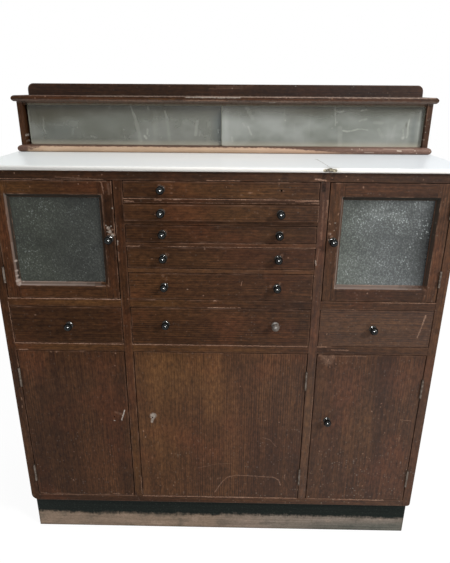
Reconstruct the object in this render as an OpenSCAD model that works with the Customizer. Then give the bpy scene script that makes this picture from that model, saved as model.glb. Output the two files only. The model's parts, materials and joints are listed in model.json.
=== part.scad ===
// Low instrument cabinet with three columns of inset doors and drawers, a glass worktop and a
// shallow display case on its back.
// Sizes are in millimetres. The origin lies on the floor, under the middle of the carcass.
// +Z is up, the front faces -Y, and left and right are the viewer's.

/* [Carcass] */
// Width over the two side boards
carcass_w = 1016; // [900:1:1300]
// Depth of the side boards
carcass_d = 340; // [280:1:460]
// Thickness of the sides, dividers and level boards
board_t = 20; // [16:0.5:25]
// Clear width of the centre column
centre_w = 416; // [340:1:500]
// Glue line between boards that are joined to each other
glue_gap = 0.1; // [0.05:0.05:0.2]
// Gap between a piece that moves and what it runs on or stops against
run_gap = 0.3; // [0.2:0.05:0.5]
// Thickness of the back panel
back_t = 6; // [4:0.5:10]
// Distance from the rear edges of the sides to the back panel
back_inset = 2; // [1:0.5:5]
// Rounding of the lower outer edge of the left side
foot_r_left = 18; // [1:0.5:18]
// Rounding of the lower outer edge of the right side
foot_r_right = 8; // [1:0.5:18]

/* [Heights] */
// Height of the plinth
plinth_h = 107; // [60:1:150]
// Clear height of the lower cupboards
cupboard_h = 437; // [350:1:560]
// Clear height of the row of deep drawers
deep_drawer_h = 95; // [70:1:130]
// Clear height of the first centre drawer, counted from the top
drawer_1_h = 37.5; // [30:0.5:60]
// Clear height of the second centre drawer
drawer_2_h = 37.5; // [30:0.5:60]
// Clear height of the third centre drawer
drawer_3_h = 40; // [30:0.5:60]
// Clear height of the fourth centre drawer
drawer_4_h = 50; // [35:0.5:80]
// Clear height of the fifth centre drawer
drawer_5_h = 65; // [40:0.5:90]
// Thickness of the rails between the centre drawers
rail_t = 10; // [8:0.5:16]

/* [Plinth] */
// Distance from the carcass front to the plinth front
plinth_recess = 18; // [5:1:60]
// Distance from the carcass sides to the plinth ends
plinth_inset = 2; // [0:0.5:20]
// Thickness of the plinth boards
plinth_t = 20; // [16:0.5:25]

/* [Worktop] */
// Thickness of the glass worktop
worktop_t = 10; // [6:0.5:16]
// Overhang of the worktop past the carcass front
worktop_front = 10; // [5:1:25]
// Overhang of the worktop past each carcass side
worktop_side = 13; // [2:1:25]

/* [Display case] */
// Distance from the carcass front to the front of the case base
case_setback = 228; // [150:1:230]
// Thickness of the case base board
case_base_t = 16; // [12:0.5:22]
// Thickness of the case top board
case_top_t = 14; // [10:0.5:20]
// Clear height between the case base and the case top
case_h = 103; // [80:1:180]
// Thickness of the case sides
case_side_t = 13; // [10:0.5:20]
// Distance from the front of the case base to the front of the case sides
case_side_setback = 15; // [8:0.5:25]
// Overhang of the case base past the case sides
case_base_side = 6; // [2:0.5:12]
// Overhang of the case top past the case sides
case_top_side = 7; // [2:0.5:12]
// Thickness of the board behind the case
case_back_t = 12; // [9:0.5:18]
// Rise of the back board above the case top
case_back_rise = 28; // [10:1:80]
// Radius of the upper corners of the back board
case_back_r = 15; // [2:0.5:20]

/* [Case panes] */
// Thickness of the sliding panes
slider_t = 3; // [2:0.5:5]
// Overlap of the two sliding panes when they are shut
slider_overlap = 15; // [5:1:40]
// Gap at the left of the left pane when the case is shut
slider_rest_gap = 5; // [1:0.5:10]
// Gap at the right of the right pane when the case is shut
slider_end_gap = 0.5; // [0.3:0.1:3]
// Radius of the pane corners
slider_r = 8; // [1:0.5:15]
// Width of a track groove beyond the pane in it
groove_slack = 1; // [0.4:0.1:2]
// Thickness of the wood between the two grooves
groove_web = 3; // [2:0.5:6]
// Distance from the front of the case sides to the front groove
groove_setback = 10; // [6:0.5:15]
// Depth of the grooves in the case base
base_groove = 3; // [2:0.5:6]
// Height of the track under the case top
track_h = 8; // [6:0.5:14]
// Wood left above the grooves of that track
track_roof = 1; // [0.5:0.5:3]
// Width of the wood before and behind the track grooves
track_lip = 3; // [2:0.5:6]
// Gap above the panes in the track, for lifting them out
slider_lift = 2; // [1:0.5:4]

/* [Doors] */
// Thickness of the doors
door_t = 20; // [16:0.5:24]
// Gap between a door edge and the upright beside it
door_gap = 2; // [1.8:0.1:3]
// Gap above and below a door
door_level_gap = 1.5; // [1:0.1:3]
// Width of the flat face of the glass door stiles
stile_w = 23; // [18:0.5:50]
// Width of the flat face of the glass door rails
door_rail_w = 29; // [18:0.5:60]
// Width and depth of the slope around the door glass
slope_w = 8; // [3:0.5:12]
// Depth of the door glass behind the door face
glass_depth = 9; // [5:0.5:12]
// Thickness of the door glass
door_glass_t = 4; // [3:0.5:5]
// Depth of the groove that the glass and its beads take in the frame
rebate_w = 6; // [4:0.5:8]
// Gap around the edge of the door glass
glass_gap = 0.5; // [0.3:0.1:1]
// Width of the beads behind the door glass
bead_w = 8; // [5:0.5:12]

/* [Door stops] */
// Length of the stop blocks behind the doors
stop_l = 40; // [20:1:60]
// Height of the stop blocks
stop_h = 12; // [8:1:20]
// Depth of the stop blocks
stop_d = 12; // [8:1:20]

/* [Drawers] */
// Thickness of the drawer fronts
front_t = 18; // [12:0.5:22]
// Gap around a drawer front
front_gap = 1.2; // [0.8:0.1:2.5]
// Thickness of the drawer sides and backs
drawer_side_t = 10; // [8:0.5:14]
// Gap between a drawer side and the upright beside it
drawer_side_gap = 2; // [1:0.5:4]
// Gap above a drawer side
drawer_top_gap = 5; // [3:0.5:8]
// Thickness of the drawer bottoms
drawer_bottom_t = 4; // [3:0.5:8]
// Height of a drawer bottom above the lower edges of the sides
drawer_bottom_up = 3; // [2:0.5:6]
// Gap behind a shut drawer
drawer_back_gap = 14; // [6:1:40]
// Distance that the second centre drawer stands out
drawer_2_out = 10; // [0:1:40]
// Width of the drawer runners
runner_w = 18; // [15:1:30]
// Depth of the rails between the drawers
rail_d = 40; // [20:1:80]

/* [Knobs] */
// Radius of the knob balls
knob_r = 9; // [7:0.5:14]
// Radius of the knob foot
knob_foot_r = 6.5; // [5:0.5:9]
// Thickness of the knob foot
knob_foot_t = 2; // [1:0.5:4]
// Radius of the knob neck
knob_neck_r = 4; // [3:0.5:6]
// Length of the neck between the foot and the ball centre
knob_neck_l = 12; // [9:0.5:20]
// Radius of the knob studs
stud_r = 2; // [1.5:0.5:3]
// Gap between a stud and its hole
stud_gap = 0.1; // [0.05:0.05:0.3]
// Radius of the stud nuts over their corners
nut_r = 4.5; // [4:0.5:6]
// Thickness of the stud nuts
nut_t = 3; // [2:0.5:4]
// Distance from the middle of the centre column to its knobs
centre_knob_x = 127; // [60:1:150]
// Distance from the middle of a side drawer to its knob, towards the centre
side_knob_shift = 5; // [0:1:40]
// Rise of the knobs of the lowest centre drawer above its middle
drawer_6_knob_up = 6; // [0:1:20]
// Distance from the free edge of a glass door to its knob
glass_knob_in = 13.5; // [10:0.5:20]
// Rise of the glass door knobs above the middle of the door
glass_knob_up = 7; // [0:1:60]
// Distance from the free edge of a lower door to its knob
lower_knob_in = 36; // [20:1:60]
// Rise of the lower door knobs above the middle of the door
lower_knob_up = 32; // [0:1:120]

/* [Hinges] */
// Length of the lower door hinges
hinge_l = 50.8; // [40:0.1:70]
// Length of the glass door hinges
small_hinge_l = 38.1; // [30:0.1:50]
// Distance from a door end to its hinge, lower doors
hinge_in = 48; // [20:1:100]
// Distance from a door end to its hinge, glass doors
small_hinge_in = 38; // [15:1:60]
// Drop of the upper hinge of the right lower door
right_hinge_drop = 17; // [0:1:40]
// Thickness of the hinge leaves
leaf_t = 0.8; // [0.5:0.1:0.8]
// Width of the hinge leaves
leaf_w = 16; // [10:0.5:20]
// Radius of the hinge knuckles
knuckle_r = 2.5; // [2:0.1:3.5]
// Gap between two knuckles
knuckle_gap = 0.2; // [0.1:0.1:0.4]
// Radius of the hinge pins
pin_r = 1.1; // [0.8:0.1:1.2]
// Gap between a pin and its knuckles
pin_gap = 0.05; // [0.03:0.01:0.1]

/* [Hidden] */
$fn = 48;
// How far a cutting shape reaches past what it cuts
over = 1;

// Depths, from the front plane of the carcass to its back
front_y = -carcass_d / 2;
back_y = carcass_d / 2;
panel_y = back_y - back_inset - back_t;

// Columns, each as its left and right inner faces
inner_x = carcass_w / 2 - board_t;
centre_x = centre_w / 2;
LEFT = [-inner_x, -centre_x - board_t];
CENTRE = [-centre_x, centre_x];
RIGHT = [centre_x + board_t, inner_x];
COLUMNS = [LEFT, CENTRE, RIGHT];

// Levels, from the floor up
floor_z = plinth_h + board_t;
cupboard_z = floor_z + cupboard_h;
deep_z = cupboard_z + board_t;
deep_top_z = deep_z + deep_drawer_h;
upper_z = deep_top_z + board_t;
small_h = [drawer_1_h, drawer_2_h, drawer_3_h, drawer_4_h, drawer_5_h];
function height_below(n) = n > 4 ? 0 : small_h[n] + rail_t + height_below(n + 1);
upper_h = height_below(0) - rail_t;
upper_top_z = upper_z + upper_h;
carcass_top_z = upper_top_z + board_t;
worktop_z = carcass_top_z + worktop_t;

// Display case levels and depths
case_floor_z = worktop_z + case_base_t;
case_ceiling_z = case_floor_z + case_h;
case_top_z = case_ceiling_z + case_top_t;
case_front_y = front_y + case_setback;
case_back_y = back_y - case_back_t;
case_side_y = case_front_y + case_side_setback;
case_inner_x = carcass_w / 2 - case_side_t;

// Grooves and panes of the display case
groove_w = slider_t + groove_slack;
groove_1_y = case_side_y + groove_setback;
groove_2_y = groove_1_y + groove_w + groove_web;
slider_w = (2 * case_inner_x + slider_overlap - slider_rest_gap - slider_end_gap) / 2;
slider_z = case_floor_z - base_groove + run_gap;
slider_top_z = case_ceiling_z - track_roof - slider_lift;

// The hinge axis is in the middle of the door gap and one knuckle radius before the front plane
axis_in = door_gap / 2;
KNUCKLES = 5;

// A drawer is its column, clear bottom and top, knob places across, knob rise and stand-out
function small_bottom(n) = upper_z + height_below(n + 1);
function small_drawer(n, out) =
  [CENTRE, small_bottom(n), small_bottom(n) + small_h[n], [-centre_knob_x, centre_knob_x], 0, out];
function middle(column) = (column[0] + column[1]) / 2;
DRAWER_1 = small_drawer(0, 0);
DRAWER_2 = small_drawer(1, drawer_2_out);
DRAWER_3 = small_drawer(2, 0);
DRAWER_4 = small_drawer(3, 0);
DRAWER_5 = small_drawer(4, 0);
DRAWER_6 = [CENTRE, deep_z, deep_top_z, [-centre_knob_x, centre_knob_x], drawer_6_knob_up, 0];
DRAWER_L = [LEFT, deep_z, deep_top_z, [middle(LEFT) + side_knob_shift], 0, 0];
DRAWER_R = [RIGHT, deep_z, deep_top_z, [middle(RIGHT) - side_knob_shift], 0, 0];

// A door is its column, clear bottom and top, hinge side (-1 left, 1 right) and hinge places
lower_hinges = [floor_z + hinge_in, cupboard_z - hinge_in - hinge_l];
right_hinges = [lower_hinges[0], lower_hinges[1] - right_hinge_drop];
upper_hinges = [upper_z + small_hinge_in, upper_top_z - small_hinge_in - small_hinge_l];
DOOR_L = [LEFT, floor_z, cupboard_z, -1, lower_hinges, hinge_l];
DOOR_C = [CENTRE, floor_z, cupboard_z, 1, lower_hinges, hinge_l];
DOOR_R = [RIGHT, floor_z, cupboard_z, 1, right_hinges, hinge_l];
GLASS_L = [LEFT, upper_z, upper_top_z, -1, upper_hinges, small_hinge_l];
GLASS_R = [RIGHT, upper_z, upper_top_z, 1, upper_hinges, small_hinge_l];
DOORS = [DOOR_L, DOOR_C, DOOR_R, GLASS_L, GLASS_R];
function door_low(door) = [door[0][0] + door_gap, door[1] + door_level_gap];
function door_high(door) = [door[0][1] - door_gap, door[2] - door_level_gap];
function knob_x(door, inset) = door[3] < 0 ? door_high(door)[0] - inset : door_low(door)[0] + inset;
function knob_z(door, rise) = (door[1] + door[2]) / 2 + rise;

WOOD = "saddlebrown";
INNER = "peru";
STEEL = "silver";

// A block from its low corner to its high corner
module block(low, high) {
  translate(low) cube(high - low);
}

// A flat outline in X and Z, given depth from y0 to y1
module upright_plate(y0, y1) {
  translate([0, y1, 0]) rotate([90, 0, 0]) linear_extrude(y1 - y0) children();
}

// A rectangle of the XZ plane with four rounded corners
module rounded_outline(low, high, r) {
  translate([low[0] + r, low[1]]) square([high[0] - low[0] - 2 * r, high[1] - low[1]]);
  translate([low[0], low[1] + r]) square([high[0] - low[0], high[1] - low[1] - 2 * r]);
  for (x = [low[0] + r, high[0] - r], z = [low[1] + r, high[1] - r]) translate([x, z]) circle(r);
}

// A level board with half-round front and side edges and a square rear edge
module nosed_board(half_w, y0, y1, z0, z1) {
  r = (z1 - z0) / 2;
  intersection() {
    upright_plate(y0, y1) translate([0, z0 + r]) {
      square([2 * (half_w - r), 2 * r], center = true);
      translate([half_w - r, 0]) circle(r);
      translate([r - half_w, 0]) circle(r);
    }
    translate([-half_w, 0, 0]) rotate([90, 0, 90]) linear_extrude(2 * half_w) {
      translate([y0 + r, z0]) square([y1 - y0 - r, 2 * r]);
      translate([y0 + r, z0 + r]) circle(r);
    }
  }
}

// --- Carcass ---

module plinth() {
  x = carcass_w / 2 - plinth_inset;
  y0 = front_y + plinth_recess;
  y1 = back_y - back_inset;
  color("dimgray") {
    block([-x, y0, 0], [x, y0 + plinth_t, plinth_h]);
    block([-x, y1 - plinth_t, 0], [x, y1, plinth_h]);
    for (x0 = [-x, -plinth_t / 2, x - plinth_t])
      block([x0, y0 + plinth_t + glue_gap, 0],
        [x0 + plinth_t, y1 - plinth_t - glue_gap, plinth_h]);
  }
}

// A level board between two inner faces, from the front plane to the back panel
module level_board(column, z) {
  block([column[0], front_y, z], [column[1], panel_y, z + board_t]);
}

module bottom_board() {
  color(WOOD) level_board([-inner_x, inner_x], plinth_h);
}

module top_board() {
  color(WOOD) level_board([-inner_x, inner_x], upper_top_z);
}

// A side board; hand is -1 for the left and 1 for the right
module side_board(hand, foot_r) {
  r = min(foot_r, board_t - over);
  color(WOOD) upright_plate(front_y, back_y) scale([hand, 1]) difference() {
    translate([inner_x, plinth_h]) square([board_t, carcass_top_z - plinth_h]);
    translate([carcass_w / 2 - r, plinth_h - over]) difference() {
      square([r + over, r + over]);
      translate([0, r + over]) circle(r);
    }
  }
}

module divider(x) {
  color(WOOD) block([x, front_y, floor_z], [x + board_t, panel_y, upper_top_z]);
}

module dust_boards() {
  color(WOOD) for (column = COLUMNS, z = [cupboard_z, deep_top_z]) level_board(column, z);
}

// The rails between the centre drawers, each with a runner at either end
module drawer_rails() {
  rear_y = front_y + rail_d;
  color(WOOD) for (n = [0:3]) {
    z = small_bottom(n) - rail_t;
    block([-centre_x, front_y, z], [centre_x, rear_y, z + rail_t]);
    for (x = [-centre_x, centre_x - runner_w])
      block([x, rear_y + glue_gap, z], [x + runner_w, panel_y, z + rail_t]);
  }
}

module back_panel() {
  color(INNER) block([-inner_x, panel_y, plinth_h], [inner_x, panel_y + back_t, carcass_top_z]);
}

// One block under the board above each door, just behind its free upper corner
module door_stops() {
  y = front_y + door_t + run_gap;
  color(INNER) for (door = DOORS) {
    x = door[3] < 0 ? door[0][1] - stop_l : door[0][0];
    block([x, y, door[2] - stop_h], [x + stop_l, y + stop_d, door[2]]);
  }
}

module worktop() {
  color("ghostwhite")
    nosed_board(carcass_w / 2 + worktop_side, front_y - worktop_front, back_y,
      carcass_top_z, worktop_z);
}

// --- Display case ---

module case_base() {
  color(WOOD) difference() {
    nosed_board(carcass_w / 2 + case_base_side, case_front_y, case_back_y,
      worktop_z, case_floor_z);
    for (y = [groove_1_y, groove_2_y])
      block([-case_inner_x, y, case_floor_z - base_groove],
        [case_inner_x, y + groove_w, case_floor_z + over]);
  }
}

module case_side(x) {
  color(WOOD)
    block([x, case_side_y, case_floor_z], [x + case_side_t, case_back_y, case_ceiling_z]);
}

module case_top() {
  color(WOOD)
    nosed_board(carcass_w / 2 + case_top_side, case_front_y, case_back_y,
      case_ceiling_z, case_top_z);
}

module case_back() {
  x = carcass_w / 2;
  z = case_top_z + case_back_rise;
  r = min(case_back_r, case_back_rise);
  color(WOOD) upright_plate(case_back_y, back_y) {
    translate([-x, worktop_z]) square([2 * x, z - r - worktop_z]);
    translate([r - x, z - r]) square([2 * (x - r), r]);
    translate([r - x, z - r]) circle(r);
    translate([x - r, z - r]) circle(r);
  }
}

module case_top_track() {
  z = case_ceiling_z - track_h;
  color(WOOD) difference() {
    block([-case_inner_x, groove_1_y - track_lip, z],
      [case_inner_x, groove_2_y + groove_w + track_lip, case_ceiling_z]);
    for (y = [groove_1_y, groove_2_y])
      block([-case_inner_x - over, y, z - over],
        [case_inner_x + over, y + groove_w, case_ceiling_z - track_roof]);
  }
}

// A sliding pane from x0, in the groove that starts at y
module case_pane(x0, y) {
  y0 = y + groove_slack / 2;
  color("darkseagreen", 0.6) upright_plate(y0, y0 + slider_t)
    rounded_outline([x0, slider_z], [x0 + slider_w, slider_top_z], slider_r);
}

// --- Hinges ---

// One leaf with its knuckles. u runs from the upright to the door and starts at the upright.
// The fixed leaf has the odd knuckles, and the moving leaf the even ones.
module leaf(length, fixed) {
  u = fixed ? 0 : door_gap - leaf_t;
  step = length / KNUCKLES;
  difference() {
    union() {
      block([u, run_gap, 0], [u + leaf_t, leaf_w, length]);
      for (n = [fixed ? 0 : 1 : 2 : KNUCKLES - 1]) {
        z0 = n * step + (n == 0 ? 0 : knuckle_gap / 2);
        z1 = (n + 1) * step - (n == KNUCKLES - 1 ? 0 : knuckle_gap / 2);
        translate([axis_in, -knuckle_r, z0]) cylinder(r = knuckle_r, h = z1 - z0);
        block([u, -knuckle_r, z0], [u + leaf_t, 2 * run_gap, z1]);
      }
    }
    translate([axis_in, -knuckle_r, -over]) cylinder(r = pin_r + pin_gap, h = length + 2 * over);
  }
}

// Puts a leaf on the hinge side of a door, at height z
module at_hinge(door, z) {
  x = door[3] < 0 ? door[0][0] : door[0][1];
  translate([x, front_y, z]) scale([-door[3], 1, 1]) children();
}

module hinge_fixed_leaves() {
  color(STEEL) for (door = DOORS, z = door[4]) at_hinge(door, z) {
    leaf(door[5], true);
    translate([axis_in, -knuckle_r, 0]) cylinder(r = pin_r, h = door[5]);
  }
}

module door_hinges(door) {
  color(STEEL) for (z = door[4]) at_hinge(door, z) leaf(door[5], false);
}

// --- Knobs ---

// A knob whose foot sits on the front plane, with its stud through wood of thickness t
module knob(x, z, t) {
  translate([x, front_y, z]) rotate([90, 0, 0]) {
    rotate_extrude() {
      square([knob_foot_r, knob_foot_t]);
      square([knob_neck_r, knob_neck_l]);
      intersection() {
        translate([0, knob_neck_l]) circle(knob_r);
        square([knob_r, knob_neck_l + knob_r]);
      }
      translate([0, -t - nut_t]) square([stud_r, t + nut_t]);
    }
    translate([0, 0, -t - nut_t]) difference() {
      cylinder(r = nut_r, h = nut_t, $fn = 6);
      translate([0, 0, -over]) cylinder(r = stud_r + stud_gap, h = nut_t + 2 * over);
    }
  }
}

module knob_hole(x, z) {
  translate([x, front_y - over, z]) rotate([-90, 0, 0])
    cylinder(r = stud_r + stud_gap, h = max(door_t, front_t) + 2 * over);
}

// --- Drawers ---

module drawer_front(d) {
  color(WOOD) translate([0, -d[5], 0]) difference() {
    block([d[0][0] + front_gap, front_y, d[1] + front_gap],
      [d[0][1] - front_gap, front_y + front_t, d[2] - front_gap]);
    for (x = d[3]) knob_hole(x, (d[1] + d[2]) / 2 + d[4]);
  }
}

// Two sides, a back and a bottom, standing on the board or runners below
module drawer_box(d) {
  x0 = d[0][0] + drawer_side_gap;
  x1 = d[0][1] - drawer_side_gap;
  y0 = front_y + front_t;
  y1 = panel_y - drawer_back_gap;
  z0 = d[1] + run_gap;
  z1 = d[2] - drawer_top_gap;
  inner_x0 = x0 + drawer_side_t + glue_gap;
  inner_x1 = x1 - drawer_side_t - glue_gap;
  bottom_z = z0 + drawer_bottom_up;
  back_z = bottom_z + drawer_bottom_t + glue_gap;
  color(INNER) translate([0, -d[5], 0]) {
    block([x0, y0, z0], [x0 + drawer_side_t, y1, z1]);
    block([x1 - drawer_side_t, y0, z0], [x1, y1, z1]);
    block([inner_x0, y0, bottom_z], [inner_x1, y1, bottom_z + drawer_bottom_t]);
    block([inner_x0, y1 - drawer_side_t, back_z], [inner_x1, y1, z1]);
  }
}

// The knobs at the given places across
module drawer_knobs(d, places) {
  color("black") translate([0, -d[5], 0])
    for (x = places) knob(x, (d[1] + d[2]) / 2 + d[4], front_t);
}

// --- Doors ---

// A plain door with one knob hole
module panel_door(door) {
  low = door_low(door);
  high = door_high(door);
  color(WOOD) difference() {
    block([low[0], front_y, low[1]], [high[0], front_y + door_t, high[1]]);
    knob_hole(knob_x(door, lower_knob_in), knob_z(door, lower_knob_up));
  }
}

// The opening that widens towards the front by the slope around the glass
module sloped_sight(low, high) {
  e = slope_w + over;
  x0 = low[0] + slope_w;
  x1 = high[0] - slope_w;
  z0 = low[1] + slope_w;
  z1 = high[1] - slope_w;
  intersection() {
    translate([0, 0, low[1] - over]) linear_extrude(high[1] - low[1] + 2 * over) polygon([
      [x0 - e, front_y - over], [x1 + e, front_y - over], [x1, front_y + slope_w],
      [x1, front_y + door_t + over], [x0, front_y + door_t + over], [x0, front_y + slope_w]]);
    translate([low[0] - over, 0, 0]) rotate([90, 0, 90])
      linear_extrude(high[0] - low[0] + 2 * over) polygon([
        [front_y - over, z0 - e], [front_y - over, z1 + e], [front_y + slope_w, z1],
        [front_y + door_t + over, z1], [front_y + door_t + over, z0], [front_y + slope_w, z0]]);
  }
}

// Two stiles, two rails and four beads. The glass lies between the slope and the beads.
module glass_frame(door) {
  low = door_low(door);
  high = door_high(door);
  flat_low = low + [stile_w, door_rail_w];
  flat_high = high - [stile_w, door_rail_w];
  seat_low = flat_low + [slope_w - rebate_w, slope_w - rebate_w];
  seat_high = flat_high - [slope_w - rebate_w, slope_w - rebate_w];
  stile = stile_w + slope_w;
  glass_y = front_y + glass_depth;
  back = front_y + door_t;
  rail_ends = [low[0] + stile + glue_gap, high[0] - stile - glue_gap];
  cuts = [[low[0], low[0] + stile], rail_ends, [high[0] - stile, high[0]]];
  color(WOOD) {
    for (cut = cuts) difference() {
      block([cut[0], front_y, low[1]], [cut[1], back, high[1]]);
      sloped_sight(flat_low, flat_high);
      block([seat_low[0], glass_y, seat_low[1]], [seat_high[0], back + over, seat_high[1]]);
      knob_hole(knob_x(door, glass_knob_in), knob_z(door, glass_knob_up));
    }
    bead_y = glass_y + door_glass_t;
    gap = [glue_gap, glue_gap];
    bead = [bead_w, bead_w];
    outer_low = seat_low + gap;
    outer_high = seat_high - gap;
    for (z = [outer_low[1], outer_high[1] - bead_w])
      block([outer_low[0], bead_y, z], [outer_high[0], back, z + bead_w]);
    for (x = [outer_low[0], outer_high[0] - bead_w])
      block([x, bead_y, (outer_low + bead + gap)[1]], [x + bead_w, back, (outer_high - bead - gap)[1]]);
  }
}

module glass_pane(door) {
  edge = slope_w - rebate_w + glass_gap;
  low = door_low(door) + [stile_w + edge, door_rail_w + edge];
  high = door_high(door) - [stile_w + edge, door_rail_w + edge];
  y = front_y + glass_depth;
  color("slategray", 0.7) block([low[0], y, low[1]], [high[0], y + door_glass_t, high[1]]);
}

module glass_door_knob(door) {
  color("black") knob(knob_x(door, glass_knob_in), knob_z(door, glass_knob_up), door_t);
}

module door_right_knob() {
  color("black") knob(knob_x(DOOR_R, lower_knob_in), knob_z(DOOR_R, lower_knob_up), door_t);
}

plinth();
bottom_board();
side_board(-1, foot_r_left);  // side_left
side_board(1, foot_r_right);  // side_right
divider(-centre_x - board_t);  // divider_left
divider(centre_x);  // divider_right
dust_boards();
drawer_rails();
top_board();
back_panel();
door_stops();
worktop();
case_base();
case_side(-carcass_w / 2);  // case_side_left
case_side(case_inner_x);  // case_side_right
case_top();
case_back();
case_top_track();
case_pane(-case_inner_x + slider_rest_gap, groove_2_y);  // case_pane_left
case_pane(case_inner_x - slider_end_gap - slider_w, groove_1_y);  // case_pane_right
hinge_fixed_leaves();
drawer_front(DRAWER_1);  // drawer_1_front
drawer_front(DRAWER_2);  // drawer_2_front
drawer_front(DRAWER_3);  // drawer_3_front
drawer_front(DRAWER_4);  // drawer_4_front
drawer_front(DRAWER_5);  // drawer_5_front
drawer_front(DRAWER_6);  // drawer_6_front
drawer_front(DRAWER_L);  // drawer_left_front
drawer_front(DRAWER_R);  // drawer_right_front
drawer_box(DRAWER_1);  // drawer_1_box
drawer_box(DRAWER_2);  // drawer_2_box
drawer_box(DRAWER_3);  // drawer_3_box
drawer_box(DRAWER_4);  // drawer_4_box
drawer_box(DRAWER_5);  // drawer_5_box
drawer_box(DRAWER_6);  // drawer_6_box
drawer_box(DRAWER_L);  // drawer_left_box
drawer_box(DRAWER_R);  // drawer_right_box
drawer_knobs(DRAWER_1, [-centre_knob_x]);  // drawer_1_knobs
drawer_knobs(DRAWER_2, DRAWER_2[3]);  // drawer_2_knobs
drawer_knobs(DRAWER_3, DRAWER_3[3]);  // drawer_3_knobs
drawer_knobs(DRAWER_4, DRAWER_4[3]);  // drawer_4_knobs
drawer_knobs(DRAWER_5, DRAWER_5[3]);  // drawer_5_knobs
drawer_knobs(DRAWER_6, DRAWER_6[3]);  // drawer_6_knobs
drawer_knobs(DRAWER_L, DRAWER_L[3]);  // drawer_left_knob
drawer_knobs(DRAWER_R, DRAWER_R[3]);  // drawer_right_knob
glass_frame(GLASS_L);  // glass_door_left_frame
glass_pane(GLASS_L);  // glass_door_left_pane
glass_door_knob(GLASS_L);  // glass_door_left_knob
door_hinges(GLASS_L);  // glass_door_left_hinges
glass_frame(GLASS_R);  // glass_door_right_frame
glass_pane(GLASS_R);  // glass_door_right_pane
glass_door_knob(GLASS_R);  // glass_door_right_knob
door_hinges(GLASS_R);  // glass_door_right_hinges
panel_door(DOOR_L);  // door_left_panel
door_hinges(DOOR_L);  // door_left_hinges
panel_door(DOOR_C);  // door_centre_panel
door_hinges(DOOR_C);  // door_centre_hinges
panel_door(DOOR_R);  // door_right_panel
door_hinges(DOOR_R);  // door_right_hinges
door_right_knob();
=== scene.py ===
"""Looks of the old instrument cabinet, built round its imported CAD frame.

Boards are eased copies of the CAD boards that carry what their finish reads: grain, nearness to an
edge and nearness to a joint. Knobs, screws and nails are formed by Geometry Nodes. Lengths in the
code are metres, and the marks on the front are given in millimetres, as they were measured.
"""

import json
import logging
import math
import random
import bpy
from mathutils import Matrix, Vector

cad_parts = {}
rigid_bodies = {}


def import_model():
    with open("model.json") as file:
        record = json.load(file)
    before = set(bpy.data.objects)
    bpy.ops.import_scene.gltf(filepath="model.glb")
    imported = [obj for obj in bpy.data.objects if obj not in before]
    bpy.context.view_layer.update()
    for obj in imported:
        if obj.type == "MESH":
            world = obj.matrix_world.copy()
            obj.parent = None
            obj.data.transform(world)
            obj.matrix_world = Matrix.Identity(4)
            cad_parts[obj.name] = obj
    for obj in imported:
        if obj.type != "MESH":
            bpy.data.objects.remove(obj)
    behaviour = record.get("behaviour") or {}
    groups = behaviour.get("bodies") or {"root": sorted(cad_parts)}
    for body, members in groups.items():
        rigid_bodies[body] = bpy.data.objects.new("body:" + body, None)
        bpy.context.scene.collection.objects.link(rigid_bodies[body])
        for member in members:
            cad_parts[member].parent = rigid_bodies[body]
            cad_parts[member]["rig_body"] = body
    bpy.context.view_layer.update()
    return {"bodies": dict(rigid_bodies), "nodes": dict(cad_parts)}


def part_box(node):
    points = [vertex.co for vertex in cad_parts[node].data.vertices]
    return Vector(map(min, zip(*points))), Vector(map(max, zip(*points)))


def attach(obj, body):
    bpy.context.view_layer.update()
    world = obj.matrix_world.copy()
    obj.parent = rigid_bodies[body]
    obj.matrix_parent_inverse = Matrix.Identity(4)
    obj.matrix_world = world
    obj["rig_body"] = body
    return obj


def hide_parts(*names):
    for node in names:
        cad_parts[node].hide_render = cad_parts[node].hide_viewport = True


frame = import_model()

import zlib
from dataclasses import dataclass, field
from enum import Enum
from typing import Callable, Dict, Iterable, List, Optional, Sequence, Tuple, Union

import bmesh
import bpy
import numpy as np
from mathutils import Matrix, Vector
from mathutils.bvhtree import BVHTree

MM = 0.001
IMAGE = (450, 563)
WELD = 1e-6
FLAT = math.radians(0.5)
NARROW = 0.003
TINY = 1e-9
LOG = logging.getLogger("cabinet")

Colour = Tuple[float, float, float]
Place = Tuple[float, float, float]
Point = Tuple[float, float]
Material = bpy.types.Material


class Slot(Enum):
    """The record's material slots."""

    OAK = "dark_oak"
    PLAIN = "plain_wood"
    PAINT = "plinth_paint"
    MILK = "milk_glass"
    CASE = "case_glass"
    STEEL = "hinge_steel"
    KNOB = "black_knob"


class Shade(Enum):
    """What a mark shows: bare wood, pale dust or chipped filler, stains, or a tint of its own. Some
    of these paint light or shade. The darkest marks also paint the shade on the inner faces of the
    case sides. One dark green-grey is painted shade on the slopes of the door frames. One pale tint
    is painted light in the shade under the case top. The pale pinkish grey is painted light and
    sheen as well as scuffed wood.
    """

    BARE = (0.42, 0.265, 0.19)
    CHALK = (0.55, 0.50, 0.44)
    STAIN = (0.010, 0.008, 0.007)
    GOLD = (0.132, 0.061, 0.019)
    RUDDY = (0.098, 0.034, 0.015)
    DUSK = (0.024, 0.012, 0.006)
    DUSTY = (0.25, 0.185, 0.130)
    SCUFF = (0.37, 0.305, 0.268)
    GLOOM = (0.022, 0.023, 0.020)
    OLIVE = (0.085, 0.077, 0.047)
    SLATE = (0.115, 0.135, 0.130)
    ASH = (0.185, 0.180, 0.140)
    MIST = (0.40, 0.42, 0.39)


BARE, CHALK, STAIN, GOLD, RUDDY, DUSK, DUSTY, SCUFF, GLOOM, OLIVE, SLATE, ASH, MIST = Shade


class Axis(Enum):
    """A direction of the CAD frame."""

    X = 0
    Y = 1
    Z = 2


# ---------------------------------------------------------------- node trees


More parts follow.
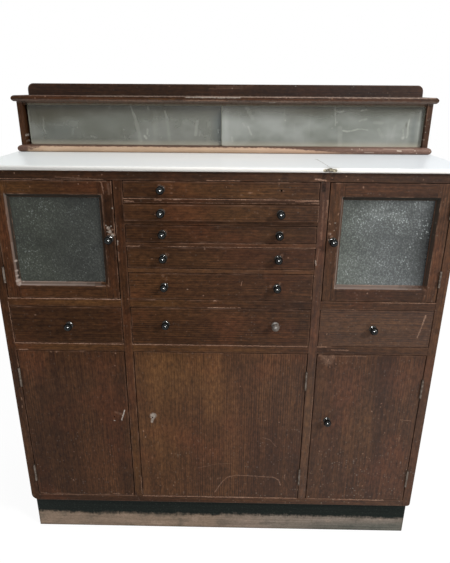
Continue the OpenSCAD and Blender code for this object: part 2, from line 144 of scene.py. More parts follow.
class Desk:
    """A node tree, and the one place where its nodes are made."""

    def __init__(self, tree: bpy.types.NodeTree) -> None:
        """Takes the tree that the nodes go into."""
        self.tree = tree

    def node(self, kind: str, feeds: Optional[dict] = None, **settings: object) -> bpy.types.Node:
        """Adds a node.

        Args:
            kind: The node's type.
            feeds: A value, Signal, Field or socket for each input, by the input's name or number.
            **settings: What is set on the node before its inputs.

        Returns:
            The new node.
        """
        made = self.tree.nodes.new(kind)
        for key, value in settings.items():
            setattr(made, key, value)
        for key, value in (feeds or {}).items():
            self.plug(made.inputs[key], value)
        return made

    def out(self, kind: str, feeds: Optional[dict] = None, **settings: object) -> object:
        """Adds a node and gives its first output."""
        return self.node(kind, feeds, **settings).outputs[0]

    def plug(self, socket: bpy.types.NodeSocket, value: object) -> None:
        """Links or sets one input.

        Args:
            socket: The input.
            value: A Signal, Field or socket to link, or a plain value to set.
        """
        value = getattr(value, "socket", value)
        if isinstance(value, bpy.types.NodeSocket):
            self.tree.links.new(value, socket)
        elif isinstance(value, (tuple, list)) and socket.type == "RGBA":
            socket.default_value = (*value[:3], 1.0)
        else:
            socket.default_value = value


Number = Union[float, "Signal"]


def arithmetic(operation: str, number_first: bool = False) -> Callable[[object, object], object]:
    """Makes an operator of Signal or Field.

    Args:
        operation: What its node does.
        number_first: True where the plain number stands before the signal.

    Returns:
        The operator.
    """

    def operator(self: object, other: object) -> object:
        """Adds a node over both terms."""
        return self.math(operation, *((other, self) if number_first else (self, other)))

    return operator


class Signal:
    """A number that varies over a surface or a shape. Arithmetic on it adds Math nodes."""

    def __init__(self, desk: Desk, socket: bpy.types.NodeSocket) -> None:
        """Wraps an output socket of a node on the desk."""
        self.desk, self.socket = desk, socket

    def math(self, operation: str, *terms: Number) -> "Signal":
        """Adds a Math node of that operation over the terms."""
        made = self.desk.out("ShaderNodeMath", dict(enumerate(terms)), operation=operation)
        return Signal(self.desk, made)

    __add__ = arithmetic("ADD")
    __radd__ = arithmetic("ADD", True)
    __sub__ = arithmetic("SUBTRACT")
    __rsub__ = arithmetic("SUBTRACT", True)
    __mul__ = arithmetic("MULTIPLY")
    __rmul__ = arithmetic("MULTIPLY", True)
    __truediv__ = arithmetic("DIVIDE")
    __pow__ = arithmetic("POWER")
    most = arithmetic("MAXIMUM")
    least = arithmetic("MINIMUM")
    above = arithmetic("GREATER_THAN")

    def sine(self) -> "Signal":
        """Its sine."""
        return self.math("SINE", self)

    def ramp(self, low: Number, high: Number, start: float = 0.0, end: float = 1.0) -> "Signal":
        """Eases from start at low to end at high.

        Args:
            low: The signal's value where the result is start.
            high: The signal's value where the result is end.
            start: The result at low and before it.
            end: The result at high and past it.

        Returns:
            The eased signal.
        """
        feeds = {"Value": self, "From Min": low, "From Max": high, "To Min": start, "To Max": end}
        made = self.desk.node("ShaderNodeMapRange", feeds, interpolation_type="SMOOTHSTEP")
        return Signal(self.desk, made.outputs["Result"])


class Field:
    """A vector or colour that varies over a surface. Arithmetic on it adds Vector Math nodes."""

    def __init__(self, desk: Desk, socket: bpy.types.NodeSocket) -> None:
        """Wraps an output socket of a node on the desk."""
        self.desk, self.socket = desk, socket

    def math(self, operation: str, *terms: object) -> "Field":
        """Adds a Vector Math node of that operation over the terms."""
        made = self.desk.out("ShaderNodeVectorMath", dict(enumerate(terms)), operation=operation)
        return Field(self.desk, made)

    __add__ = arithmetic("ADD")
    __sub__ = arithmetic("SUBTRACT")

    def __mul__(self, other: object) -> "Field":
        """Product with one factor or three.

        Args:
            other: A number or Signal, or a vector to multiply by part by part.

        Returns:
            The product.
        """
        if isinstance(other, (tuple, Field)):
            return self.math("MULTIPLY", self, other)
        made = self.desk.out("ShaderNodeVectorMath", {0: self, "Scale": other}, operation="SCALE")
        return Field(self.desk, made)

    def measured(self, operation: str, other: object) -> Signal:
        """The number that a Vector Math node finds between two vectors."""
        made = self.desk.node("ShaderNodeVectorMath", {0: self, 1: other}, operation=operation)
        return Signal(self.desk, made.outputs["Value"])

    def far(self, other: object) -> Signal:
        """Distance from a point or another field."""
        return self.measured("DISTANCE", other)

    def part(self, axis: Axis) -> Signal:
        """One of the three parts."""
        made = self.desk.node("ShaderNodeSeparateXYZ", {0: self})
        return Signal(self.desk, made.outputs[axis.value])


class Bench(Desk):
    """A material's node tree, with the textures and mixes that the finishes share."""

    def __init__(self, name: str) -> None:
        """Makes an empty material.

        Args:
            name: The material's name.
        """
        self.material = bpy.data.materials.new(name)
        self.material.use_nodes = True
        super().__init__(self.material.node_tree)
        self.tree.nodes.clear()

    def place(self) -> Field:
        """Object coordinates, in metres of the CAD frame."""
        return Field(self, self.node("ShaderNodeTexCoord").outputs["Object"])

    def carried(self, name: str) -> Signal:
        """A number that the piece's mesh carries."""
        made = self.node("ShaderNodeAttribute", attribute_name=name)
        return Signal(self, made.outputs["Fac"])

    def grain(self) -> Field:
        """Places along and across the grain, which the piece's mesh carries."""
        made = self.node("ShaderNodeAttribute", attribute_name="grain")
        return Field(self, made.outputs["Vector"])

    def noise(self, where: Field, scale: float, detail: float = 3.0, rough: float = 0.55) -> Signal:
        """Noise from 0 to 1.

        Args:
            where: The coordinates.
            scale: Features per metre of those coordinates.
            detail: Octaves of finer noise.
            rough: Strength of each finer octave.

        Returns:
            The noise.
        """
        feeds = {"Vector": where, "Scale": scale, "Detail": detail, "Roughness": rough}
        return Signal(self, self.out("ShaderNodeTexNoise", feeds))

    def noise_field(self, where: Field, scale: float) -> Field:
        """Noise of three independent parts, each from 0 to 1."""
        feeds = {"Vector": where, "Scale": scale, "Detail": 2.0}
        return Field(self, self.node("ShaderNodeTexNoise", feeds).outputs["Color"])

    def shaken(self, where: Field, place: Field, scale: float, reach: object) -> Field:
        """The coordinates, pushed about within reach by noise of that scale over the place."""
        return where + (self.noise_field(place, scale) - (0.5, 0.5, 0.5)) * reach

    def cells(self, where: Field, scale: float) -> Tuple[Signal, Field]:
        """Scattered cells, that many per metre: distance from a cell's point, and its colour."""
        made = self.node("ShaderNodeTexVoronoi", {"Vector": where, "Scale": scale})
        return Signal(self, made.outputs["Distance"]), Field(self, made.outputs["Color"])

    def gap(self, flat: Field, start: Place, run: Place) -> Signal:
        """Distance from a straight line.

        Args:
            flat: The coordinates.
            start: Where the line starts.
            run: From its start to its end.

        Returns:
            The distance, in metres.
        """
        square = sum(r * r for r in run)
        if not square:
            return flat.far(start)
        away = flat - start
        share = away.measured("DOT_PRODUCT", tuple(r / square for r in run)).most(0.0).least(1.0)
        feeds = {0: run, "Scale": share}
        return away.far(self.out("ShaderNodeVectorMath", feeds, operation="SCALE"))

    def drawn(self, marks: Iterable["Mark"], flat: Field) -> Dict[Shade, Signal]:
        """Draws marks.

        Args:
            marks: The marks.
            flat: Coordinates in metres, with no depth.

        Returns:
            How strongly the marks of each shade show.
        """
        found: Dict[Shade, Signal] = {}
        for mark in marks:
            mask = mark.mask(self, flat)
            found[mark.shade] = mask.most(found[mark.shade]) if mark.shade in found else mask
        return found

    def mix(self, factor: Number, first: object, second: object) -> Field:
        """Mixes two colours.

        Args:
            factor: Share of the second.
            first: A colour.
            second: Another colour.

        Returns:
            The mixed colour.
        """
        feeds = {0: factor, 6: first, 7: second}
        made = self.node("ShaderNodeMix", feeds, data_type="RGBA", blend_type="MIX")
        return Field(self, made.outputs[2])

    def bump(self, height: Signal, distance: float, strength: float = 1.0) -> Field:
        """The normal of a surface raised by height times distance, in metres."""
        feeds = {"Height": height, "Distance": distance, "Strength": strength}
        return Field(self, self.out("ShaderNodeBump", feeds))

    def finish(self, **sockets: object) -> Material:
        """Ends the tree in one Principled shader.

        Args:
            **sockets: Its inputs, with "_" for a space in their names.

        Returns:
            The material.
        """
        feeds = {key.replace("_", " "): value for key, value in sockets.items()}
        shader = self.out("ShaderNodeBsdfPrincipled", feeds)
        self.node("ShaderNodeOutputMaterial", {"Surface": shader})
        return self.material


# ---------------------------------------------------------------- marks on the front


@dataclass(frozen=True)
class Mark:
    """A scratch, dash or chip on the front, as a line of points in millimetres across and up."""

    points: Tuple[Point, ...]
    width: float
    shade: Shade
    strength: float

    def box(self) -> Tuple[float, float, float, float]:
        """Its least and greatest place across and up."""
        (x0, x1), (z0, z1) = ((min(v) - self.width, max(v) + self.width) for v in zip(*self.points))
        return x0, x1, z0, z1

    def mask(self, bench: Bench, flat: Field) -> Signal:
        """How strongly the mark shows.

        Args:
            bench: The material's tree.
            flat: Coordinates in metres, with no depth.

        Returns:
            A signal from 0 to the mark's strength.
        """
        nearest = None
        for (x0, z0), (x1, z1) in zip(self.points, self.points[1:] or self.points):
            run = ((x1 - x0) * MM, 0.0, (z1 - z0) * MM)
            gap = bench.gap(flat, (x0 * MM, 0.0, z0 * MM), run)
            nearest = nearest.least(gap) if nearest else gap
        half = self.width * MM / 2
        return nearest.ramp(half * 0.45, half * 1.35, self.strength, 0.0)


@dataclass(frozen=True)
class Patch:
    """A broad soft change of colour, in millimetres across and up."""

    shade: Shade
    across: float
    up: float
    half_width: float
    half_height: float
    strength: float

    def mask(self, bench: Bench, place: Field) -> Signal:
        """How strongly the patch shows.

        Args:
            bench: The material's tree.
            place: Coordinates in metres.

        Returns:
            A signal from 0 to the patch's strength.
        """
        scale = (1 / (self.half_width * MM), 0.0, 1 / (self.half_height * MM))
        away = (place - (self.across * MM, 0.0, self.up * MM)) * scale
        return away.far((0.0, 0.0, 0.0)).ramp(0.0, 1.25, self.strength, 0.0)


def strokes(shade: Shade, *rows: Tuple[float, ...]) -> List[Mark]:
    """Marks of one shade along points: width, strength, then place across and up of each point."""
    return [Mark(tuple(zip(row[2::2], row[3::2])), row[0], shade, row[1]) for row in rows]


def dots(shade: Shade, *rows: Tuple[float, ...]) -> List[Mark]:
    """Makes round marks.

    Args:
        shade: Their shade.
        *rows: Size, strength, then place across and up of each mark.

    Returns:
        The marks.
    """
    return [
        Mark((point,), row[0], shade, row[1])
        for row in rows
        for point in zip(row[2::2], row[3::2])
    ]


def scattered(first: int, step: int, up: int, spread: int) -> List[float]:
    """Places of a row of dots along the front edge of the case, a step apart."""
    return [v for x in range(first, 500, step) for v in (x, up + x % spread)]


# Measured on the front in millimetres from the middle and from the floor
MARKS: Tuple[Mark, ...] = (
    # Worn edges of the rails and level boards
    *strokes(
        BARE, (1.9, 0.69, -207, 931, -20, 931, 206, 931), (1.8, 0.8, -68, 922.2, 207, 922.2),
        (1.6, 0.46, -207, 922.2, -68, 922.2), (2.6, 0.69, -205, 925.5, -186, 924.8),
        (2.6, 0.8, -140, 928, -126, 928.5), (2.4, 0.69, -100, 929.5, -88, 930),
        (2.8, 0.69, 158, 927.5, 206, 928.8), (2.2, 0.57, 192, 924.3, 207, 924.3),
        (1.7, 0.63, -117, 824.8, 207, 824.8), (1.8, 0.69, -208, 824.8, -178, 825.6),
        (1.4, 0.4, -66, 833.4, 104, 833.4), (1.8, 0.92, -30, 679.8, 36, 679.8),
        (1.9, 0.69, -208, 583.3, 204, 583.3), (1.8, 0.75, -488, 583.3, -229, 583.3),
        (1.9, 0.8, -488, 698.3, -229, 698.3), (2, 0.92, 229, 583.3, 250, 583.3),
        (1.6, 0.46, 229, 679.8, 350, 679.8), (1.6, 0.52, 367, 697.9, 488, 697.9),
        (3, 0.8, -479, 565.4, -460, 565.4), (3, 0.4, 262, 575, 302, 575),
        (1.9, 0.86, -206, 126.4, 204, 126.4), (2.2, 0.57, 228, 126.2, 300, 126.2),
        (2.2, 0.8, 300, 126.2, 436, 125.4), (2, 0.4, -474, 126.4, -234, 126.4),
        (1.7, 0.57, -464, 970, -348, 970), (1.7, 0.4, -348, 970, -247, 970),
        (1.7, 0.69, -29, 970, 40, 970), (3.6, 0.92, 196, 974.8, 220, 971.5),
    ),
    # Front edges of the uprights
    *strokes(
        BARE, (1.3, 0.6, -208.8, 132, -208.8, 192), (1.5, 0.45, 227.2, 322, 227.2, 446),
        (1.3, 0.45, -488.6, 585, -488.6, 690), (4, 0.4, 226, 930, 225, 905),
        (3, 0.4, 216, 862, 219, 846), (3, 0.4, -226.5, 812, -226, 792),
        (2.6, 0.5, -493, 430, -493.5, 424), (2.6, 0.5, -494.5, 408, -495, 402),
    ),
    *strokes(CHALK, (3, 0.35, 209.5, 796, 211, 786), (2.4, 0.35, -225.5, 838, -226, 828)),
    *dots(BARE, (3.4, 0.45, -226, 369, 209.4, 760, -212, 700)),
    *strokes(STAIN, (9, 0.8, 215, 988, 214, 972, 216, 952), (8, 0.6, 234, 985, 232, 976)),
    # Rubbed places on the uprights and stiles
    *dots(
        BARE,
        (3.4, 0.4, -222, 952.9, -227.9, 900.2, -228.2, 812.7, -297.5, 977.9),
        (3.4, 0.4, -248.8, 980.4, -278.2, 973.6),
        (3.6, 0.5, 225.1, 929.6, 230.9, 978.1, 250.5, 901.9),
    ),
    *dots(
        CHALK, (4.2, 0.42, -225.6, 835.9, -231.9, 909.6),
        (3.2, 0.4, 245.1, 882.3, 236.9, 857.9, 234.8, 844.3, 243.7, 865.4),
    ),
    *strokes(
        BARE, (3.2, 0.3, -227.2, 879.6, -227.1, 855.5), (5.5, 0.15, -238.1, 961.9, -236.7, 940.6),
        (2.4, 0.42, -251.6, 964.8, -248.9, 952.7), (2, 0.3, -348, 974.8, -251.1, 970.8),
        (4, 0.24, 228.7, 914.2, 231.9, 889.1), (4, 0.22, 217.1, 925, 218.5, 846.2),
        (3, 0.34, 215.2, 822.9, 212.3, 793.3), (2, 0.45, 9.8, 921.9, 199.9, 922.6),
        (2, 0.5, 61, 824.1, 206.8, 824),
    ),
    # Display case
    *strokes(
        # The pale line along the top edge of the case top, at 1131 here and in the next strokes, is
        # worn wood and painted highlight
        BARE, (1.6, 0.3, -500, 1131.2, -330, 1131.4, -60, 1131.4),
        (2.2, 0.62, -60, 1131.2, 120, 1131.2, 506, 1131), (2.5, 0.35, -300, 1121, -150, 1120.5),
        (3, 0.45, -90, 1122, -20, 1123, 10, 1122), (2.4, 0.35, 90, 1121.5, 210, 1121),
        (1.2, 0.35, 206.6, 886, 206.6, 921), (1.8, 0.5, -198, 1118.8, -184, 1118.8),
        (1.8, 0.45, 50, 1118.8, 62, 1118.8), (1.8, 0.35, 140, 1118.6, 158, 1118.6),
        (2, 0.4, 225, 1118.6, 250, 1118.6), (3, 0.16, -40, 1149, 30, 1150.5, 45, 1149),
        (5, 0.12, -20, 1154, 70, 1155),
    ),
    *strokes(
        CHALK, (2.6, 0.45, -90, 1129.5, 40, 1129.8), (2.2, 0.16, -330, 1131.2, -60, 1131.4),
        (2, 0.26, -60, 1131.2, 506, 1131), (2, 0.5, 110, 1118.8, 124, 1118.8),
    ),
    *strokes(
        RUDDY, (3, 0.4, -330, 1126, -290, 1124), (3.5, 0.3, -420, 1127, -340, 1126, -200, 1125),
        (4.5, 0.35, 60, 1126, 300, 1125, 470, 1125),
    ),
    *strokes(GOLD, (3.5, 0.3, -180, 1126, -120, 1124)),
    *dots(BARE, (3.4, 0.6, -455, 1126, -430, 1130, 150, 1130, 260, 1129, 395, 1127)),
    # Painted light: the lower half of the case top's nose and the top of the track under it face
    # down into shade, and are painted paler
    *strokes(SCUFF, (10, 0.2, -512, 1119, -200, 1119), (10, 0.26, -200, 1119, 512, 1119)),
    *strokes(DUSTY, (6, 0.24, -486, 1117.2, 486, 1117.2)),
    *strokes(ASH, (6.2, 0.85, -486, 1111, 486, 1111)),
    *dots(
        CHALK, (8, 0.95, -491.5, 1038, -490.5, 1024), (3.4, 0.3, 496, 1034, 493, 1044, 498, 1052),
        (3, 0.28, 495, 1066, 499, 1080, 494, 1094),
        (3, 0.4, -262, 1131, 20, 1150, 182, 1156, 330, 1156),
    ),
    # Painted shade: dark strokes on the inner edges of the case sides, carried back over their
    # inner faces
    *strokes(STAIN, (5, 0.92, -487, 1016, -487, 1114), (3, 0.45, 489, 1020, 489, 1110)),
    *dots(RUDDY, (9, 0.3, *scattered(-470, 47, 1121, 5))),
    *dots(SCUFF, (5, 0.3, *scattered(-455, 31, 1118, 3))),
    # Top board
    *dots(
        BARE, (3, 0.55, -433, 982, -457, 986, 285, 975, 419, 976, 122, 973),
        (3.4, 0.55, 260, 981, 316, 972.5),
    ),
    # Centre drawers
    *dots(
        BARE, (2.6, 0.75, 123.2, 950.4, 131.4, 950, 11, 957, 122, 964),
        (9, 0.3, -129, 958, -121, 955),
        (8, 0.26, -121, 908, -120, 860, -118, 807, 133, 860, 134, 808),
        (7, 0.24, -129, 757, 133, 741, -122, 748, 113, 735),
        (3.6, 0.5, -35, 821, 149, 802.6, -75, 725, -39, 709.6),
        (3, 0.35, 120, 841, -152, 842, 92, 792, -6, 795, 160, 722),
        (3, 0.3, 20, 640, 60, 612, -150, 661, -205, 598, 170, 610),
    ),
    *strokes(
        BARE, (3.2, 0.55, 59, 945, 66, 945.6), (2.2, 0.45, 48, 746, 46, 736),
        (2, 0.8, -16, 697.5, -10, 697.2), (2, 0.7, 40, 681.5, 46, 679.8),
    ),
    # Left glass door and what is round its knob
    *strokes(
        BARE, (2.6, 0.26, -251, 962, -248, 940), (1.4, 0.5, -231.5, 967, -231.5, 942),
        (6, 0.3, -246, 866, -241, 860, -238, 852),
    ),
    *dots(
        BARE, (5, 0.55, -235, 862, -244, 851, -233, 853),
        (3.4, 0.4, -281, 963, -300, 961, -404, 954, -340, 716),
    ),
    *dots(
        CHALK, (3, 0.45, -249, 872, -238, 870, -247, 858),
        (8, 0.5, -236, 850, -241, 858, -244, 866),
    ),
    # Right glass door
    *dots(BARE, (4, 0.6, 250, 901, 298, 959, 331, 720.5, 234, 880), (8, 0.4, 236, 858, 240, 851)),
    *strokes(STAIN, (9, 0.5, 236, 967, 237, 958)),
    # Side drawers
    *strokes(BARE, (4, 0.6, 470, 667, 465.4, 645), (3.2, 0.4, 465.4, 645, 458, 610)),
    *dots(BARE, (3.2, 0.65, 247.6, 617, 237, 588)),
    # Left lower door
    *strokes(CHALK, (3.2, 0.75, -238.7, 398, -248, 369)),
    *dots(CHALK, (4, 0.7, -266, 367)),
    *strokes(
        BARE, (7, 0.2, -262, 392, -244, 384), (2.4, 0.5, -480, 130.5, -466, 129.5),
        (2, 0.4, -440, 130, -400, 129.8), (2.6, 0.6, -308, 130, -296, 130),
        (2.6, 0.6, -286, 131.8, -270, 131.8),
    ),
    *dots(
        BARE, (3.4, 0.35, -254, 525, -379, 268, -410, 240, -300, 370),
        (4.2, 0.6, -405, 560.5, -392, 559.5, -250, 558.6), (3.2, 0.7, -250, 132, -235, 131.8),
    ),
    # Centre lower door
    *dots(CHALK, (16, 0.55, -168, 383), (8, 0.5, -164, 386, -171, 379)),
    *strokes(CHALK, (6, 0.45, -169, 376, -172, 364)),
    *dots(
        BARE, (4.4, 0.7, -195, 336, -191, 318),
        (3.6, 0.45, -125, 268, -87, 270, -186, 240, -25, 281, -165, 188),
        (3.4, 0.5, -119, 174, 49, 472, 148, 369, 168, 195, 113, 374),
    ),
    *strokes(
        BARE, (2.2, 0.5, -14, 143, -6, 158, 0, 169, 8, 182, 19, 194, 42, 201),
        (2.2, 0.5, 42, 201, 88, 199, 143, 195.5, 154, 187.5, 160, 171),
        (1.8, 0.22, -58, 222, -10, 236, 30, 240), (1.8, 0.35, 108, 322, 126, 316, 144, 294),
        (2.6, 0.4, 170, 205, 169, 190),
    ),
    # Right lower door
    *strokes(
        BARE, (5, 0.35, 236, 562, 252, 549, 262, 540), (1.8, 0.3, 232, 559, 345, 559),
        (2.6, 0.4, 449, 382, 474, 380), (2.2, 0.35, 453, 330, 453, 316),
    ),
    *dots(
        BARE, (26, 0.22, 256, 546), (16, 0.25, 266, 556, 246, 553),
        (3.2, 0.7, 244, 556, 257, 549, 266, 556, 276, 538, 262, 530),
        (3, 0.55, 250, 538, 284, 546, 239, 549, 300, 541),
        (3.8, 0.6, 320, 560.5, 375, 406, 396, 429, 366, 277, 375, 173),
        (3.4, 0.55, 255, 282, 265, 223, 238, 211, 366, 226, 377, 266),
        (3.2, 0.5, 463, 153, 303, 250, 240, 190, 384, 262, 395, 419),
        (2.8, 0.4, 330, 330, 345, 205, 420, 300, 290, 300, 410, 215),
        (2.8, 0.35, 388, 255, 372, 246, 300, 180, 430, 260, 350, 470),
    ),
)

# Broad changes of tone on the front
PATCHES: Tuple[Patch, ...] = (
    Patch(GOLD, -125, 505, 105, 110, 0.75), Patch(GOLD, -20, 470, 60, 110, 0.4),
    Patch(GOLD, -150, 300, 80, 200, 0.45), Patch(DUSK, 55, 520, 55, 70, 0.55),
    Patch(DUSK, 150, 470, 55, 110, 0.3), Patch(DUSK, -10, 185, 40, 60, 0.45),
    Patch(DUSK, 150, 190, 60, 70, 0.35), Patch(RUDDY, 60, 330, 90, 90, 0.2),
    Patch(GOLD, 60, 950, 110, 26, 0.45), Patch(GOLD, -60, 948, 70, 26, 0.3),
    Patch(GOLD, 40, 903, 150, 26, 0.5), Patch(GOLD, 130, 854, 80, 26, 0.3),
    Patch(RUDDY, -10, 854, 80, 22, 0.35), Patch(GOLD, -150, 689, 90, 16, 0.6),
    Patch(GOLD, -30, 574, 220, 14, 0.3), Patch(RUDDY, 20, 640, 70, 40, 0.45),
    Patch(DUSK, -100, 800, 90, 30, 0.35), Patch(DUSK, -60, 732, 90, 40, 0.3),
    Patch(DUSK, 190, 640, 40, 50, 0.4), Patch(RUDDY, -450, 525, 50, 60, 0.65),
    Patch(RUDDY, -280, 530, 60, 45, 0.55), Patch(RUDDY, -300, 230, 70, 110, 0.25),
    Patch(DUSK, -440, 340, 60, 260, 0.35), Patch(DUSK, -240, 200, 30, 90, 0.45),
    Patch(GOLD, -440, 955, 90, 26, 0.5), Patch(RUDDY, -280, 955, 70, 24, 0.75),
    Patch(RUDDY, -240, 750, 22, 80, 0.6), Patch(RUDDY, -470, 840, 20, 130, 0.7),
    Patch(GOLD, -340, 689, 160, 14, 0.55), Patch(GOLD, -340, 575, 160, 14, 0.4),
    Patch(RUDDY, -218, 500, 16, 160, 0.6), Patch(GOLD, -218, 230, 16, 140, 0.6),
    Patch(RUDDY, -218, 860, 16, 110, 0.5), Patch(RUDDY, 218, 860, 16, 110, 0.85),
    Patch(RUDDY, 218, 640, 16, 110, 0.6), Patch(GOLD, 218, 380, 16, 190, 0.55),
    Patch(GOLD, 350, 625, 160, 60, 0.3), Patch(RUDDY, 300, 485, 50, 90, 0.5),
    Patch(RUDDY, 430, 500, 50, 80, 0.45), Patch(RUDDY, 440, 210, 60, 130, 0.55),
    Patch(GOLD, 360, 350, 60, 130, 0.25), Patch(DUSK, 240, 300, 26, 160, 0.45),
    Patch(RUDDY, 340, 957, 120, 24, 0.35), Patch(RUDDY, 470, 800, 16, 150, 0.35),
    Patch(DUSK, 243, 780, 20, 70, 0.35),
)

# Wiped streaks and clouds on the panes of the display case
LEFT_STREAKS: Tuple[Mark, ...] = (
    *strokes(
        BARE, (4, 0.34, -452, 1079, -454, 1052, -450, 1042), (5, 0.14, -440, 1063, -405, 1062),
        (4, 0.22, -380, 1053, -382, 1040), (3.6, 0.4, -336, 1036, -324, 1033),
        (3.6, 0.45, -231, 1111, -226, 1092), (8, 0.42, -226, 1092, -220, 1073),
        (11, 0.34, -220, 1073, -214, 1046, -210, 1026), (4, 0.32, -189, 1111, -188, 1099),
        (4.4, 0.72, -192, 1054, -192, 1043), (6.4, 1.0, -199, 1037, -195, 1031),
        (14, 0.16, -170, 1093, -173, 1027), (5, 0.4, -146, 1095, -142, 1081),
        (9, 0.22, -142, 1081, -140, 1064, -136, 1028), (8, 0.4, -67, 1074, -71, 1040),
        (4, 0.36, -60, 1048, -62, 1038), (3.2, 0.28, -60, 1043, -50, 1038, -40, 1040),
        (3.6, 0.55, -13, 1052, -13, 1046), (3, 0.55, -488, 1096, -489, 1040, -487, 1020),
    ),
    *dots(
        BARE, (7, 0.3, -253, 1051, -250, 1034), (9, 0.3, -284, 1105), (4.4, 0.5, -188, 1038),
        (7, 0.28, -132, 1106),
    ),
)
# The olive clouds along the top are dirt and painted shadow of the case top
LEFT_CLOUDS: Tuple[Patch, ...] = (
    Patch(OLIVE, -450, 1098, 100, 46, 1.0), Patch(OLIVE, -350, 1104, 110, 26, 0.6),
    Patch(SLATE, -415, 1048, 60, 26, 0.35), Patch(MIST, -285, 1070, 50, 42, 0.14),
    Patch(OLIVE, -138, 1103, 30, 16, 0.55), Patch(SLATE, -90, 1104, 36, 16, 0.45),
    Patch(MIST, -84, 1068, 28, 14, 0.16), Patch(SLATE, -12, 1066, 20, 80, 0.85),
    Patch(MIST, -130, 1040, 70, 22, 0.12),
)
RIGHT_STREAKS: Tuple[Mark, ...] = (
    *strokes(
        BARE, (8, 0.24, 55, 1108, 66, 1092, 73, 1080), (5, 0.28, 48, 1070, 53, 1061),
        (4.6, 0.48, 61, 1061, 65, 1052, 69, 1042), (4.6, 0.45, 20, 1036, 22, 1028),
        (2.8, 0.45, 274, 1112, 276, 1090, 278, 1067), (3.4, 0.42, 276, 1098, 293, 1100),
        (12, 0.3, 289, 1060, 292, 1018), (4.4, 0.72, 297, 1053, 315, 1053, 332, 1057),
        (3.6, 0.48, 332, 1057, 342, 1058, 357, 1055), (3.6, 0.48, 338, 1101, 352, 1103),
        (5, 0.34, 337, 1077, 352, 1082), (8, 0.26, 372, 1073, 392, 1073),
        (9, 0.26, 386, 1056, 396, 1040), (3.6, 0.72, 458, 1081, 457, 1061),
        (5, 0.6, 457, 1061, 456, 1038), (4, 0.42, 446, 1057, 447, 1044),
        (9, 0.2, 425, 1066, 421, 1040), (4, 0.26, 483, 1100, 484, 1030),
    ),
    *dots(BARE, (5.6, 0.36, 281, 1074, 270, 1060), (9, 0.8, 447, 1037)),
)
# The olive clouds along the top are dirt and painted shadow of the case top
RIGHT_CLOUDS: Tuple[Patch, ...] = (
    Patch(MIST, 4, 1064, 11, 120, 0.95), Patch(MIST, 4, 1030, 22, 26, 0.5),
    Patch(OLIVE, 215, 1108, 75, 24, 0.85), Patch(OLIVE, 110, 1110, 80, 14, 0.4),
    Patch(OLIVE, 461, 1109, 34, 12, 0.75), Patch(OLIVE, 179, 1080, 34, 24, 0.22),
    Patch(MIST, 398, 1050, 120, 50, 0.22), Patch(MIST, 300, 1090, 60, 24, 0.12),
    Patch(SLATE, 471, 1056, 12, 60, 0.5), Patch(OLIVE, 452, 1068, 4, 9, 0.6),
    Patch(OLIVE, 491, 1070, 5, 70, 0.6),
)


# ---------------------------------------------------------------- finishes


@dataclass
class Tones:
    """Brightness, warmth, wear and grain of a board against the others, and its painted sheen low
    down. The brightness partly paints light: boards to the right, and the track under the case top,
    are made lighter for the light that falls there.
    """

    tone: float = 1.0
    warmth: float = 0.5
    wear: float = 0.5
    along: Optional[Axis] = None
    grey: float = 0.0


